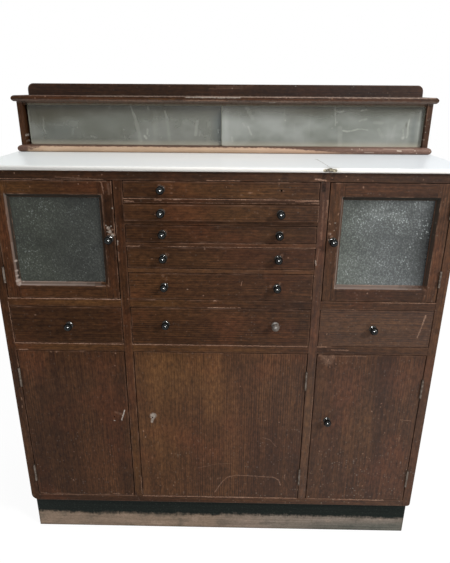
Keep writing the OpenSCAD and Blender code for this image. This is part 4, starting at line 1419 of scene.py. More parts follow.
class Joinery:
    """Eases the CAD boards and gives them what their finishes read."""

    TOUCH = 0.0003
    SHARP = math.radians(35)
    BENT = 0.03
    HOLE_EDGE = 0.0006
    BANDS = (0.0026, 0.0120)
    STRAIGHT = 1e-5
    SKIN = 0.001
    FAR = 0.05
    SHIFT = 4.0

    def __init__(self) -> None:
        """Reads every CAD node, so that joints between boards of a body are known."""
        self.trees: Dict[str, BVHTree] = {}
        self.owners: Dict[str, List[Tuple[str, int]]] = {}
        for body in frame["bodies"]:
            points: List[Vector] = []
            faces: List[Tuple[int, ...]] = []
            owners: List[Tuple[str, int]] = []
            for name, node in frame["nodes"].items():
                if node["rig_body"] != body or "knob" in name or "hinge" in name:
                    continue
                bm = merged(name)
                for number, solid in enumerate(solids_of(bm)):
                    place = {v: len(points) + i for i, v in enumerate(solid.verts)}
                    points += [v.co.copy() for v in solid.verts]
                    for face in {f for v in solid.verts for f in v.link_faces}:
                        faces.append(tuple(place[v] for v in face.verts))
                        owners.append((name, number))
                bm.free()
            if faces:
                self.trees[body] = BVHTree.FromPolygons(points, faces)
                self.owners[body] = owners

    def touches(self, body: str, owner: Tuple[str, int], point: Vector) -> bool:
        """True if another board of the body is at the point."""
        near = self.trees[body].find_nearest_range(point, self.TOUCH)
        return any(self.owners[body][index] != owner for _, _, index, _ in near)

    def board(
        self,
        name: str,
        suffix: str,
        material: Material,
        slot: Slot,
        ease: float,
        along: Optional[Axis] = None,
    ) -> bpy.types.Object:
        """Makes the eased copy of a CAD node.

        Args:
            name: The CAD node.
            suffix: Ends the piece's name.
            material: Its finish.
            slot: The record's slot for it.
            ease: Width of the rounding on its free edges.
            along: Direction of its grain, where that isn't its longest side.

        Returns:
            The piece, which stands for the node.
        """
        bm = merged(name)
        body = node_of(name)["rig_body"]
        solids = solids_of(bm)
        worn = self.sorted_edges(solids, body, name)
        bmesh.ops.bevel(
            bm, geom=worn, offset=ease, offset_type="OFFSET", segments=2, profile=0.5,
            affect="EDGES", clamp_overlap=True,
        )
        self.cut_bands(bm, solids)
        for face in bm.faces:
            bends = (e.calc_face_angle(0.0) for e in face.edges if len(e.link_faces) == 2)
            face.smooth = narrowness(face) < NARROW and any(
                self.BENT < bend < self.SHARP for bend in bends
            )
        carried = self.measures(bm, solids, name, along)
        mesh = mesh_of(bm, name + suffix, material)
        for key, values in carried.items():
            kind, part = ("FLOAT_VECTOR", "vector") if values.ndim == 2 else ("FLOAT", "value")
            made = mesh.attributes.new(key, kind, "POINT")
            made.data.foreach_set(part, values.astype(np.float32).ravel())
        return dressed(mesh, body, slot, name)

    def sorted_edges(
        self, solids: List[Solid], body: str, name: str
    ) -> List[bmesh.types.BMEdge]:
        """Notes the free and the joined edges of each board.

        Args:
            solids: The boards of a CAD node.
            body: The body that they ride on.
            name: The CAD node.

        Returns:
            The free edges, which get eased.
        """
        free = []
        for number, solid in enumerate(solids):
            for edge in {e for v in solid.verts for e in v.link_edges}:
                if len(edge.link_faces) != 2 or edge.calc_face_angle(0.0) < self.SHARP:
                    continue
                a, b = edge.verts[0].co.copy(), edge.verts[1].co.copy()
                if (b - a).length < self.HOLE_EDGE:
                    continue
                if self.touches(body, (name, number), (a + b) / 2):
                    solid.joined.append((a, b))
                else:
                    solid.worn.append((a, b))
                    free.append(edge)
        return free

    def cut_bands(self, bm: bmesh.types.BMesh, solids: List[Solid]) -> None:
        """Cuts each board beside its edges, so that what it carries is exact there.

        Args:
            bm: The boards' mesh.
            solids: The boards, as they were before easing.
        """
        for solid, verts in zip(solids, self.matched(bm, solids)):
            planes = set()
            for ends, bands in ((solid.worn, self.BANDS), (solid.joined, self.BANDS[:1])):
                for a, b in ends:
                    for axis in (i for i in range(3) if abs(b[i] - a[i]) < self.STRAIGHT):
                        floor, roof = solid.low[axis] + self.SKIN, solid.high[axis] - self.SKIN
                        levels = (a[axis] + side * band for band in bands for side in (-1, 1))
                        planes |= {(axis, round(z, 4)) for z in levels if floor < z < roof}
            for axis, level in sorted(planes):
                normal = Vector((0.0, 0.0, 0.0))
                normal[axis] = 1.0
                edges = list({e for v in verts for e in v.link_edges})
                faces = list({f for v in verts for f in v.link_faces})
                cut = bmesh.ops.bisect_plane(
                    bm, geom=verts + edges + faces, dist=WELD, plane_co=normal * level,
                    plane_no=normal,
                )
                new = [g for g in cut["geom_cut"] if isinstance(g, bmesh.types.BMVert)]
                verts = list(set(verts + new))

    @staticmethod
    def matched(bm: bmesh.types.BMesh, solids: List[Solid]) -> List[List[bmesh.types.BMVert]]:
        """Finds the boards again after a change.

        Args:
            bm: The boards' mesh.
            solids: The boards, as they were before easing.

        Returns:
            The points of each board, in the order of solids.
        """
        now = [(s.verts, s.middle(), s.span()) for s in solids_of(bm)]
        order = []
        for solid in solids:
            middle, span = solid.middle(), solid.span()
            best = min(now, key=lambda n: (n[1] - middle).length + (n[2] - span).length)
            order.append(best[0])
        return order

    def measures(
        self, bm: bmesh.types.BMesh, solids: List[Solid], name: str, along: Optional[Axis]
    ) -> Dict[str, np.ndarray]:
        """Finds what the finish reads at each point.

        Args:
            bm: The eased boards.
            solids: The boards, as they were before easing.
            name: The CAD node, which seeds the shift of its grain.
            along: Direction of the grain, where that isn't the longest side.

        Returns:
            Nearness to an edge and to a joint, the board's tint and the place in the grain.
        """
        bm.verts.index_update()
        total = len(bm.verts)
        edge, seam = np.full(total, self.FAR), np.full(total, self.FAR)
        tint, grain = np.zeros(total), np.zeros((total, 3))
        draw = random.Random(zlib.crc32(name.encode()))
        for solid, verts in zip(solids, self.matched(bm, solids)):
            index = np.array([v.index for v in verts])
            points = np.array([v.co for v in verts])
            span = [solid.high[a] - solid.low[a] for a in range(3)]
            first = along.value if along else max(range(3), key=lambda a: span[a])
            second, third = sorted((a for a in range(3) if a != first), key=lambda a: -span[a])
            shift = [draw.uniform(-self.SHIFT, self.SHIFT) for _ in range(3)]
            grain[index] = points[:, [first, second, third]] + shift
            tint[index] = draw.random()
            edge[index] = np.minimum(edge[index], self.gaps(points, solid.worn))
            seam[index] = np.minimum(seam[index], self.gaps(points, solid.joined))
        return {"edge": edge, "seam": seam, "board": tint, "grain": grain}

    @staticmethod
    def gaps(points: np.ndarray, ends: List[Tuple[Vector, Vector]]) -> np.ndarray:
        """Measures how far points are from edges.

        Args:
            points: The points.
            ends: Both ends of each edge.

        Returns:
            Distance of each point from the nearest edge.
        """
        nearest = np.full(len(points), Joinery.FAR)
        for a, b in ends:
            a, run = np.array(a), np.array(b) - np.array(a)
            share = np.clip((points - a) @ run / max(run @ run, WELD**2), 0.0, 1.0)
            gap = np.linalg.norm(points - a - share[:, None] * run, axis=1)
            nearest = np.minimum(nearest, gap)
        return nearest


# ---------------------------------------------------------------- formed pieces


class Former(Desk):
    """A Geometry Nodes tree with named inputs, and the mesh that it makes."""

    def __init__(self, name: str, sizes: Dict[str, float], finishes: Sequence[str]) -> None:
        """Makes the tree and its inputs.

        Args:
            name: The tree's name.
            sizes: Name and usual value of each size.
            finishes: Names of the material inputs.
        """
        super().__init__(bpy.data.node_groups.new(name, "GeometryNodeTree"))
        face = self.tree.interface
        face.new_socket("Geometry", in_out="INPUT", socket_type="NodeSocketGeometry")
        face.new_socket("Geometry", in_out="OUTPUT", socket_type="NodeSocketGeometry")
        for key, value in sizes.items():
            made = face.new_socket(key, in_out="INPUT", socket_type="NodeSocketFloat")
            made.default_value = value
        for key in finishes:
            face.new_socket(key, in_out="INPUT", socket_type="NodeSocketMaterial")
        self.entry = self.node("NodeGroupInput")

    def size(self, name: str) -> Signal:
        """One of the tree's sizes."""
        return Signal(self, self.entry.outputs[name])

    def vector(self, x: Number, y: Number, z: Number) -> Field:
        """A vector of three numbers."""
        return Field(self, self.out("ShaderNodeCombineXYZ", {0: x, 1: y, 2: z}))

    def position(self) -> Field:
        """Where each point of the shape is."""
        return Field(self, self.out("GeometryNodeInputPosition"))

    def rod(self, corners: int, radius: Number, depth: Number) -> object:
        """An upright cylinder round the middle."""
        feeds = {"Vertices": corners, "Radius": radius, "Depth": depth}
        return self.out("GeometryNodeMeshCylinder", feeds)

    def moved(self, shape: object, to: object, turn: object = (0.0, 0.0, 0.0)) -> object:
        """Geometry that is turned and moved."""
        feeds = {"Geometry": shape, "Translation": to, "Rotation": turn}
        return self.out("GeometryNodeTransform", feeds)

    def noted(self, shape: object, name: str, value: Signal, kind: str, domain: str) -> object:
        """Geometry that carries a value of that kind, for each point or face."""
        feeds = {"Geometry": shape, "Name": name, "Value": value}
        return self.out("GeometryNodeStoreNamedAttribute", feeds, data_type=kind, domain=domain)

    def gathered(self, socket: bpy.types.NodeSocket, shapes: Sequence[object]) -> None:
        """Links several geometries to one input."""
        for shape in shapes:
            self.tree.links.new(shape, socket)

    def close(self, shape: object, finishes: Sequence[Tuple[str, Optional[object]]]) -> None:
        """Sets the shape on the points and ends the tree.

        Args:
            shape: What stands on each point of the object's mesh.
            finishes: Name of each material input, and where it goes, or None for everywhere.
        """
        points = self.out("GeometryNodeMeshToPoints", {"Mesh": self.entry.outputs[0]})
        out = self.out("GeometryNodeInstanceOnPoints", {"Points": points, "Instance": shape})
        out = self.out("GeometryNodeRealizeInstances", {0: out})
        for name, chosen in finishes:
            feeds = {"Geometry": out, "Material": self.entry.outputs[name]}
            if chosen is not None:
                feeds["Selection"] = chosen
            out = self.out("GeometryNodeSetMaterial", feeds)
        self.node("NodeGroupOutput", {0: out})

    def mesh(
        self, name: str, points: Sequence[Vector], sizes: Dict[str, object]
    ) -> bpy.types.Mesh:
        """Forms the mesh for a set of points.

        Args:
            name: The mesh's name.
            points: Where the shape goes.
            sizes: Values of the tree's inputs, by name.

        Returns:
            A plain mesh.
        """
        base = bpy.data.meshes.new(name + "_points")
        base.from_pydata([tuple(p) for p in points], [], [])
        holder = placed(name + "_points", base)
        modifier = holder.modifiers.new("form", "NODES")
        modifier.node_group = self.tree
        for item in self.tree.interface.items_tree:
            if item.in_out == "INPUT" and item.name in sizes:
                modifier[item.identifier] = sizes[item.name]
        shown = holder.evaluated_get(bpy.context.evaluated_depsgraph_get())
        mesh = bpy.data.meshes.new_from_object(shown)
        mesh.name = name
        holder.modifiers.remove(modifier)
        bpy.data.objects.remove(holder)
        return mesh


class TurnedKnob:
    """A knob with its stud and nut, turned by one rule for its radius along the axis."""

    SIZES = {
        "Ball Radius": 0.009,
        "Ball Reach": 0.012,
        "Neck Radius": 0.004,
        "Foot Radius": 0.0089,
        "Foot Height": 0.0033,
        "Stud Radius": 0.002,
        "Nut Radius": 0.0045,
        "Nut Height": 0.003,
        "Front Thickness": 0.018,
    }
    RINGS = 56
    ROUND = 36
    POLE = 2e-5
    BACK = 0.0002

    def __init__(self) -> None:
        """Builds the tree."""
        f = Former("turned_knob", self.SIZES, ("Knob Finish", "Nut Finish"))
        ball, reach, high = f.size("Ball Radius"), f.size("Ball Reach"), f.size("Foot Height")
        end = f.vector(0.0, 0.0 - (ball + reach), 0.0)
        axis = f.out("GeometryNodeCurvePrimitiveLine", {"Start": (0, 0, 0), "End": end})
        rings = f.out("GeometryNodeResampleCurve", {"Curve": axis, "Count": self.RINGS})
        out = 0.0 - f.position().part(Axis.Y)
        past = out - reach
        sphere = (ball * ball - past * past).most(0.0) ** 0.5
        dome = (1.0 - (out / high) ** 2.0).most(0.0) ** 0.5 * f.size("Foot Radius")
        neck = f.size("Neck Radius") * past.ramp(-MM, MM, 1.0, 0.0)
        feeds = {"Curve": rings, "Radius": sphere.most(dome).most(neck)}
        sized = f.out("GeometryNodeSetCurveRadius", feeds)
        ring = f.out("GeometryNodeCurvePrimitiveCircle", {"Resolution": self.ROUND, "Radius": 1.0})
        feeds = {"Curve": sized, "Profile Curve": ring, "Fill Caps": True}
        turned = f.node("GeometryNodeCurveToMesh", feeds)
        if "Scale" in turned.inputs:
            f.plug(turned.inputs["Scale"], f.out("GeometryNodeInputRadius"))
        feeds = {"Geometry": turned.outputs[0], "Distance": self.POLE}
        soft = f.out("GeometryNodeSetShadeSmooth", {0: f.out("GeometryNodeMergeByDistance", feeds)})
        thick, nut = f.size("Front Thickness"), f.size("Nut Height")
        quarter, long = (math.pi / 2, 0.0, 0.0), thick + nut * 1.5
        hexagon = f.moved(
            f.rod(6, f.size("Nut Radius"), nut), f.vector(0.0, thick + nut * 0.5, 0.0), quarter
        )
        stud = f.moved(
            f.rod(16, f.size("Stud Radius"), long), f.vector(0.0, long * 0.5, 0.0), quarter
        )
        whole = f.node("GeometryNodeJoinGeometry")
        f.gathered(whole.inputs[0], (soft, hexagon, stud))
        depth = f.position().part(Axis.Y)
        low_down = (0.0 - depth).ramp(high, high * 1.25, 1.0, 0.0)
        footed = f.noted(whole.outputs[0], "foot", low_down, "FLOAT", "POINT")
        marked = f.noted(footed, "behind", depth.above(self.BACK), "BOOLEAN", "FACE")
        behind = f.out("GeometryNodeInputNamedAttribute", {"Name": "behind"}, data_type="BOOLEAN")
        f.close(marked, (("Knob Finish", None), ("Nut Finish", behind)))
        self.former = f

    def fit(
        self,
        node: str,
        faces: Sequence[Point],
        finish: Material,
        steel: Material,
        thickness: float,
    ) -> bpy.types.Object:
        """Fits the knobs of one CAD node.

        Args:
            node: The CAD node of the knobs.
            faces: Place across and height of each knob.
            finish: Finish of the knobs.
            steel: Finish of studs and nuts.
            thickness: Thickness of the board that they are on.

        Returns:
            The piece, which stands for the node.
        """
        low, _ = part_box(node)
        face = low.y + self.SIZES["Ball Radius"] + self.SIZES["Ball Reach"]
        points = [Vector((x, face, z)) for x, z in faces]
        sizes = {"Knob Finish": finish, "Nut Finish": steel, "Front Thickness": thickness}
        mesh = self.former.mesh(node + "_turned", points, sizes)
        return dressed(mesh, node_of(node)["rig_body"], Slot.KNOB, node)


class ScrewHeads:
    """Countersunk screw heads on the hinge leaves, one form that serves both faces of a leaf."""

    SIZES = {"Head Radius": 0.0027, "Head Height": 0.0011, "Slot Width": 0.0007}
    SLANT = (0.6, 0.0, 0.0)

    def __init__(self) -> None:
        """Builds the tree."""
        f = Former("screw_heads", self.SIZES, ("Steel",))
        head, high = f.size("Head Radius"), f.size("Head Height")
        disc = f.moved(f.rod(20, head, high), (0.0, 0.0, 0.0), (0.0, math.pi / 2, 0.0))
        bar = f.vector(high * 2.0, f.size("Slot Width"), head * 1.8)
        slots = [
            f.moved(
                f.out("GeometryNodeMeshCube", {"Size": bar}),
                f.vector(high * (1.3 * side), 0.0, 0.0),
                self.SLANT,
            )
            for side in (-1.0, 1.0)
        ]
        cut = f.node("GeometryNodeMeshBoolean", {"Mesh 1": disc}, operation="DIFFERENCE")
        f.gathered(cut.inputs["Mesh 2"], slots)
        f.close(cut.outputs[0], (("Steel", None),))
        self.former = f


class NailHeads:
    """Small domed nails that hold the back panel."""

    SIZES = {"Nail Radius": 0.0024, "Nail Rise": 0.0009}

    def __init__(self) -> None:
        """Builds the tree."""
        f = Former("nail_heads", self.SIZES, ("Steel",))
        feeds = {"Segments": 14, "Rings": 8, "Radius": f.size("Nail Radius")}
        ball = f.out("GeometryNodeMeshUVSphere", feeds)
        squash = f.vector(1.0, f.size("Nail Rise") / f.size("Nail Radius"), 1.0)
        flat = f.out("GeometryNodeTransform", {"Geometry": ball, "Scale": squash})
        f.close(f.out("GeometryNodeSetShadeSmooth", {0: flat}), (("Steel", None),))
        self.former = f


# ---------------------------------------------------------------- sub-assemblies


class Workshop:
    """What the sub-assemblies share: joinery, finishes and formed pieces."""

    FRONT = -0.16
    CASE_LEVEL = 0.99

    def __init__(self) -> None:
        """Prepares the shared finishes."""
        self.joinery = Joinery()
        self.oak = OakFinish()
        self.plain = PlainFinish().material("plain_wood_aged")
        self.steel = SteelFinish().material("hinge_steel_aged")
        self.knob = TurnedKnob()
        self.screws = ScrewHeads()
        self.nails = NailHeads()

    def oak_board(
        self, node: str, tones: Tones, ease: float = 0.0008, lips: Sequence[Mark] = ()
    ) -> bpy.types.Object:
        """Makes an oak piece with the marks that fall on its front.

        Args:
            node: The CAD node.
            tones: How it differs from the others.
            ease: Width of the rounding on its free edges.
            lips: Lines that follow its slopes: painted shade, and painted sheen with dust.

        Returns:
            The piece.
        """
        low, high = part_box(node)
        x0, x1, z0, z1 = (v / MM for v in (low.x, high.x, low.z, high.z))
        in_case = low.z > self.CASE_LEVEL
        marks, patches = [], []
        if low.y < self.FRONT or in_case:
            for mark in MARKS:
                left, right, foot, head = mark.box()
                if right > x0 and left < x1 and head > z0 and foot < z1:
                    marks.append(mark)
            patches = [p for p in PATCHES if x0 < p.across < x1 and z0 < p.up < z1]
        # Marks on the case sides reach back over their inner faces, where the dark strokes paint
        # shade
        depth = 0.024 if "case_side" in node else 0.008 if in_case else 0.0012
        material = self.oak.material(node + "_oak", tones, marks, patches, lips, low.y, depth)
        return self.joinery.board(node, "_wood", material, Slot.OAK, ease, tones.along)

    def plain_board(self, node: str, along: Optional[Axis] = None) -> bpy.types.Object:
        """Makes a piece of plain wood from a CAD node."""
        return self.joinery.board(node, "_wood", self.plain, Slot.PLAIN, 0.0006, along)


@dataclass
class Carcass:
    """Sides, uprights, level boards, rails, back and plinth."""

    shop: Workshop
    nail_pitch: float = 0.088
    nail_inset: float = 0.008
    boards: Dict[str, Tones] = field(
        default_factory=lambda: {
            "side_left": Tones(1.0, 0.5, 0.45),
            "side_right": Tones(1.35, 0.60, 0.5),
            "divider_left": Tones(1.15, 0.7, 0.55),
            "divider_right": Tones(1.40, 0.6, 0.6, None, 0.024),
            "bottom_board": Tones(1.15, 0.6, 0.5, Axis.X),
            "top_board": Tones(0.70, 0.40, 0.4, Axis.X, 0.008),
            "dust_boards": Tones(1.2, 0.70, 0.5, Axis.X),
            "drawer_rails": Tones(1.05, 0.60, 0.5, Axis.X),
        }
    )

    def build(self) -> None:
        """Makes the boards, the plinth, the back and its nails."""
        for node, tones in self.boards.items():
            self.shop.oak_board(node, tones)
        paint = PlinthFinish().material("plinth_paint_worn")
        self.shop.joinery.board("plinth", "_wood", paint, Slot.PAINT, 0.0012)
        self.shop.plain_board("back_panel", Axis.Z)
        self.shop.plain_board("door_stops")
        self.nail_back()

    def nail_back(self) -> None:
        """Drives nails round the back panel."""
        low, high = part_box("back_panel")
        x0, x1 = low.x + self.nail_inset, high.x - self.nail_inset
        z0, z1 = low.z + self.nail_inset, high.z - self.nail_inset
        corners = ((x0, z0), (x1, z0), (x1, z1), (x0, z1))
        points = []
        for start, end in zip(corners, corners[1:] + corners[:1]):
            count = round(math.dist(start, end) / self.nail_pitch)
            for i in range(count):
                x, z = (a + (b - a) * (i / count) for a, b in zip(start, end))
                points.append(Vector((x, high.y, z)))
        mesh = self.shop.nails.former.mesh("back_panel_nails", points, {"Steel": self.shop.steel})
        dressed(mesh, "carcass", Slot.STEEL)


@dataclass
class Worktop:
    """The white glass slab, chipped at its front edge."""

    chips: Tuple[Tuple[Place, Place], ...] = (
        ((0.2245, -0.1815, 0.9962), (0.0074, 0.0056, 0.0068)),
        ((0.2150, -0.1812, 0.9940), (0.0062, 0.0038, 0.0040)),
        ((0.2335, -0.1812, 0.9942), (0.0054, 0.0042, 0.0044)),
    )
    rough: float = 0.10
    seed: int = 40

    def build(self) -> None:
        """Makes the slab and breaks its edge."""
        finish = MilkGlassFinish()
        bm = merged("worktop")
        for face in bm.faces:
            face.smooth = narrowness(face) < NARROW
        mesh = mesh_of(bm, "worktop_slab", finish.material("milk_glass_polished"))
        broken = finish.broken("milk_glass_broken")
        slab = placed("worktop_slab_whole", mesh)
        for number, (centre, radii) in enumerate(self.chips):
            cutter = self.scoop(number, Vector(centre), Vector(radii), broken)
            modifier = slab.modifiers.new("chip", "BOOLEAN")
            modifier.operation, modifier.object, modifier.solver = "DIFFERENCE", cutter, "EXACT"
            modifier.material_mode = "TRANSFER"
            shown = slab.evaluated_get(bpy.context.evaluated_depsgraph_get())
            chipped = bpy.data.meshes.new_from_object(shown)
            slab.modifiers.remove(modifier)
            slab.data = chipped
            bpy.data.objects.remove(cutter)
        chipped.name = "worktop_slab"
        bpy.data.objects.remove(slab)
        dressed(chipped, "carcass", Slot.MILK, "worktop")

    def scoop(
        self, number: int, centre: Vector, radii: Vector, finish: Material
    ) -> bpy.types.Object:
        """Makes one rough scoop that breaks the glass away.

        Args:
            number: Seeds its roughness.
            centre: Its middle.
            radii: Its half sizes.
            finish: Finish of the broken face.

        Returns:
            The cutter.
        """
        draw = random.Random(self.seed + number)
        bm = bmesh.new()
        bmesh.ops.create_icosphere(bm, subdivisions=3, radius=1.0)
        for vert in bm.verts:
            swell = 1.0 + draw.uniform(-self.rough, self.rough)
            vert.co = centre + Vector(c * r * swell for c, r in zip(vert.co, radii))
        return placed("scoop", mesh_of(bm, "scoop", finish))


@dataclass
class DisplayCase:
    """The low glass case on the worktop, and the board behind it."""

    shop: Workshop
    ease: float = 0.0006
    glass_ease: float = 0.0005
    boards: Dict[str, Tones] = field(
        default_factory=lambda: {
            "case_top": Tones(0.86, 0.40, 0.80),
            "case_side_left": Tones(1.15, 0.35, 0.7),
            "case_side_right": Tones(1.20, 0.40, 0.8),
            "case_back": Tones(0.60, 0.20, 0.25, None, 0.030),
            # The track's high tone is painted light in the shade under the case top
            "case_top_track": Tones(1.3, 0.3, 0.2),
        }
    )

    def build(self) -> None:
        """Makes the boards and the two panes."""
        board = self.shop.joinery.board
        for node, tones in self.boards.items():
            self.shop.oak_board(node, tones, self.ease)
        base = BareBaseFinish().material("case_base_bared")
        board("case_base", "_wood", base, Slot.OAK, self.ease)
        left = CaseGlassFinish(
            (0.165, 0.172, 0.142), (0.250, 0.260, 0.232), 0.54, LEFT_STREAKS, LEFT_CLOUDS
        )
        right = CaseGlassFinish(
            (0.215, 0.230, 0.200), (0.335, 0.352, 0.325), 0.58, RIGHT_STREAKS, RIGHT_CLOUDS
        )
        panes = (("case_pane_left", left, 0.0), ("case_pane_right", right, 3.7))
        for node, finish, turn in panes:
            dirty = finish.material(node + "_dirty", turn)
            board(node, "_glass", dirty, Slot.CASE, self.glass_ease)


@dataclass
class Drawer:
    """A drawer: its front, its box and its knobs."""

    shop: Workshop
    name: str
    tones: Tones
    finish: Material
    knobs: Tuple[Point, ...]
    thickness: float = 0.018

    def build(self) -> None:
        """Makes the front, the box and the knobs."""
        self.shop.oak_board(self.name + "_front", self.tones)
        self.shop.plain_board(self.name + "_box")
        node = self.name + ("_knobs" if self.name + "_knobs" in frame["nodes"] else "_knob")
        self.shop.knob.fit(node, self.knobs, self.finish, self.shop.steel, self.thickness)


@dataclass
class HingedDoor:
    """A door: its panel or frame and pane, its hinges and its knob."""

    shop: Workshop
    name: str
    hinge_side: float
    tones: Tones
    knob_finish: Material
    knob: Optional[Point] = None
    glass: Optional[ObscuredGlassFinish] = None
    lips: Sequence[Mark] = ()
    thickness: float = 0.020
    frame_ease: float = 0.0007
    panel_ease: float = 0.0009
    leaf: float = 0.0008
    leaf_middle: float = -0.1615
    pin_gap: float = 0.001
    proud: float = 0.0002
    screws: Tuple[Point, ...] = ((1 / 6, 0.0), (1 / 2, 0.0032), (5 / 6, 0.0))

    def build(self) -> None:
        """Makes the woodwork, the pane, the knob and the screws of the hinges."""
        wood, ease = ("_frame", self.frame_ease) if self.glass else ("_panel", self.panel_ease)
        self.shop.oak_board(self.name + wood, self.tones, ease, self.lips)
        node_of(self.name + "_hinges").data.materials[0] = self.shop.steel
        if self.glass:
            pane = self.name + "_pane"
            node_of(pane).data.materials[0] = self.glass.material(pane + "_stippled")
        if self.knob:
            self.shop.knob.fit(
                self.name + "_knob", (self.knob,), self.knob_finish, self.shop.steel,
                self.thickness,
            )
        self.screw_leaves()

    def screw_leaves(self) -> None:
        """Sets screws in the fixed and the moving leaves of the hinges."""
        bm = merged(self.name + "_hinges")
        spans = [(s.low, s.high) for s in solids_of(bm)]
        bm.free()
        fixed, moving = [], []
        for low, high in spans:
            axis = (low.x + high.x) / 2
            for share, shift in self.screws:
                z = low.z + (high.z - low.z) * share
                for points, side in ((fixed, self.hinge_side), (moving, -self.hinge_side)):
                    # A leaf's outer face is flush with its board, one gap from the pin's axis
                    x = axis + side * self.pin_gap - side * self.leaf * 0.5
                    points.append(Vector((x, self.leaf_middle + shift, z)))
        sizes = {"Steel": self.shop.steel, "Head Height": self.leaf + self.proud}
        for leaf, points, body in (("_fixed", fixed, "carcass"), ("_leaf", moving, self.name)):
            mesh = self.shop.screws.former.mesh(f"{self.name}{leaf}_screws", points, sizes)
            dressed(mesh, body, Slot.STEEL)


# ---------------------------------------------------------------- studio


@dataclass(frozen=True)
class Lamp:
    """A square area lamp."""

    name: str
    at: Place
    aim: Place
    size: float
    power: float
    colour: Colour

    def hang(self) -> bpy.types.Object:
        """Hangs it where it belongs and points it.

        Returns:
            The lamp.
        """
        data = bpy.data.lights.new(self.name, "AREA")
        data.shape, data.size, data.energy, data.color = (
            "SQUARE", self.size, self.power, self.colour,
        )
        lamp = placed(self.name, data)
        lamp.location = self.at
        ahead = Vector(self.aim) - Vector(self.at)
        lamp.rotation_euler = ahead.to_track_quat("-Z", "Y").to_euler()
        return lamp


@dataclass
class Studio:
    """Floor, surroundings, lamps and the camera at the photograph's viewing angle."""

    focal_pixels: float = 506.4
    sensor: float = 36.0
    pitch: float = 20.86
    yaw: float = -0.9
    roll: float = 0.36
    camera_at: Place = (0.0265, -1.2326, 1.1500)
    floor_half: float = 6.0
    glow: float = 0.91
    sky: float = 0.50
    lamps: Tuple[Lamp, ...] = (
        Lamp("window", (2.1, -1.7, 2.3), (0.0, -0.1, 0.6), 0.42, 60.0, (1.0, 0.985, 0.96)),
        Lamp("ceiling", (0.0, -0.7, 3.2), (0.0, -0.1, 0.6), 2.4, 21.0, (0.97, 0.99, 1.0)),
        Lamp("front", (0.1, -2.2, 1.2), (0.0, -0.1, 0.6), 1.0, 3.0, (1.0, 0.99, 0.97)),
    )
    catch: Lamp = Lamp(
        "catch", (0.03, -1.42, 1.11), (0.0, -0.17, 0.75), 0.50, 150.0, (1.0, 1.0, 0.98)
    )

    def build(self) -> None:
        """Sets up everything round the cabinet."""
        self.floor()
        self.surroundings()
        for lamp in self.lamps:
            lamp.hang()
        catch = self.catch.hang()
        catch.data.shape = "DISK"
        catch.visible_diffuse = False
        catch.light_linking.receiver_collection = self.knobs()
        self.camera()
        bpy.context.scene.view_settings.view_transform = "Standard"

    @staticmethod
    def knobs() -> bpy.types.Collection:
        """Gathers the knobs, which alone show the catch light.

        Returns:
            A collection of them.
        """
        shown = bpy.data.collections.new("knobs_shown")
        for piece in bpy.data.objects:
            if piece.name.endswith("_turned"):
                shown.objects.link(piece)
        return shown

    def floor(self) -> None:
        """Lays a plain pale floor that shows white but keeps the cabinet's shadow."""
        bench = Bench("floor_pale")
        tone = bench.noise(bench.place(), 3.0, 3.0)
        pale = bench.mix(tone, (0.80, 0.80, 0.80), (0.78, 0.78, 0.775))
        plain = bench.out("ShaderNodeBsdfDiffuse", {"Color": pale})
        soft = bench.out("ShaderNodeBsdfDiffuse", {"Color": (0.13, 0.13, 0.13)})
        feeds = {"Color": (1.0, 1.0, 1.0), "Strength": self.glow}
        lit = bench.out("ShaderNodeAddShader", {0: soft, 1: bench.out("ShaderNodeEmission", feeds)})
        both = bench.out("ShaderNodeMixShader", {0: self.seen(bench), 1: plain, 2: lit})
        bench.node("ShaderNodeOutputMaterial", {"Surface": both})
        mesh = bpy.data.meshes.new("floor")
        turns = ((-1, -1), (1, -1), (1, 1), (-1, 1))
        corners = [(x * self.floor_half, y * self.floor_half, 0.0) for x, y in turns]
        mesh.from_pydata(corners, [], [(0, 1, 2, 3)])
        mesh.materials.append(bench.material)
        floor = placed("floor", mesh)

    @staticmethod
    def seen(desk: Desk) -> Signal:
        """Tells the rays that show the background from the rest.

        Args:
            desk: The tree that asks.

        Returns:
            1 for rays from the camera, a mirror or through glass, otherwise 0.
        """
        path = desk.node("ShaderNodeLightPath").outputs
        camera, glossy, through = (
            Signal(desk, path[f"Is {kind} Ray"]) for kind in ("Camera", "Glossy", "Transmission")
        )
        return camera.most(glossy).most(through)

    def surroundings(self) -> None:
        """Makes the world soft grey light that shows white."""
        world = bpy.data.worlds.new("studio_white")
        world.use_nodes = True
        desk = Desk(world.node_tree)
        desk.tree.nodes.clear()
        strength = self.seen(desk) * (1.0 - self.sky) + self.sky
        feeds = {"Color": (1.0, 1.0, 1.0), "Strength": strength}
        desk.node("ShaderNodeOutputWorld", {"Surface": desk.out("ShaderNodeBackground", feeds)})
        bpy.context.scene.world = world

    def camera(self) -> None:
        """Places the camera as the photograph's was found to be."""
        pitch, yaw, roll = (math.radians(v) for v in (self.pitch, self.yaw, self.roll))
        ahead = Vector(
            (math.sin(yaw) * math.cos(pitch), math.cos(yaw) * math.cos(pitch), -math.sin(pitch))
        )
        level = Vector((math.cos(yaw), -math.sin(yaw), 0.0))
        up = level.cross(ahead)
        right = math.cos(roll) * level + math.sin(roll) * up
        top = -math.sin(roll) * level + math.cos(roll) * up
        data = bpy.data.cameras.new("camera")
        data.lens = self.focal_pixels / max(IMAGE) * self.sensor
        data.sensor_width = self.sensor
        data.clip_start, data.clip_end = 0.05, 50.0
        camera = placed("camera", data)
        turn = Matrix((right, top, -ahead)).transposed().to_4x4()
        camera.matrix_world = Matrix.Translation(self.camera_at) @ turn
        bpy.context.scene.camera = camera


# ---------------------------------------------------------------- the cabinet

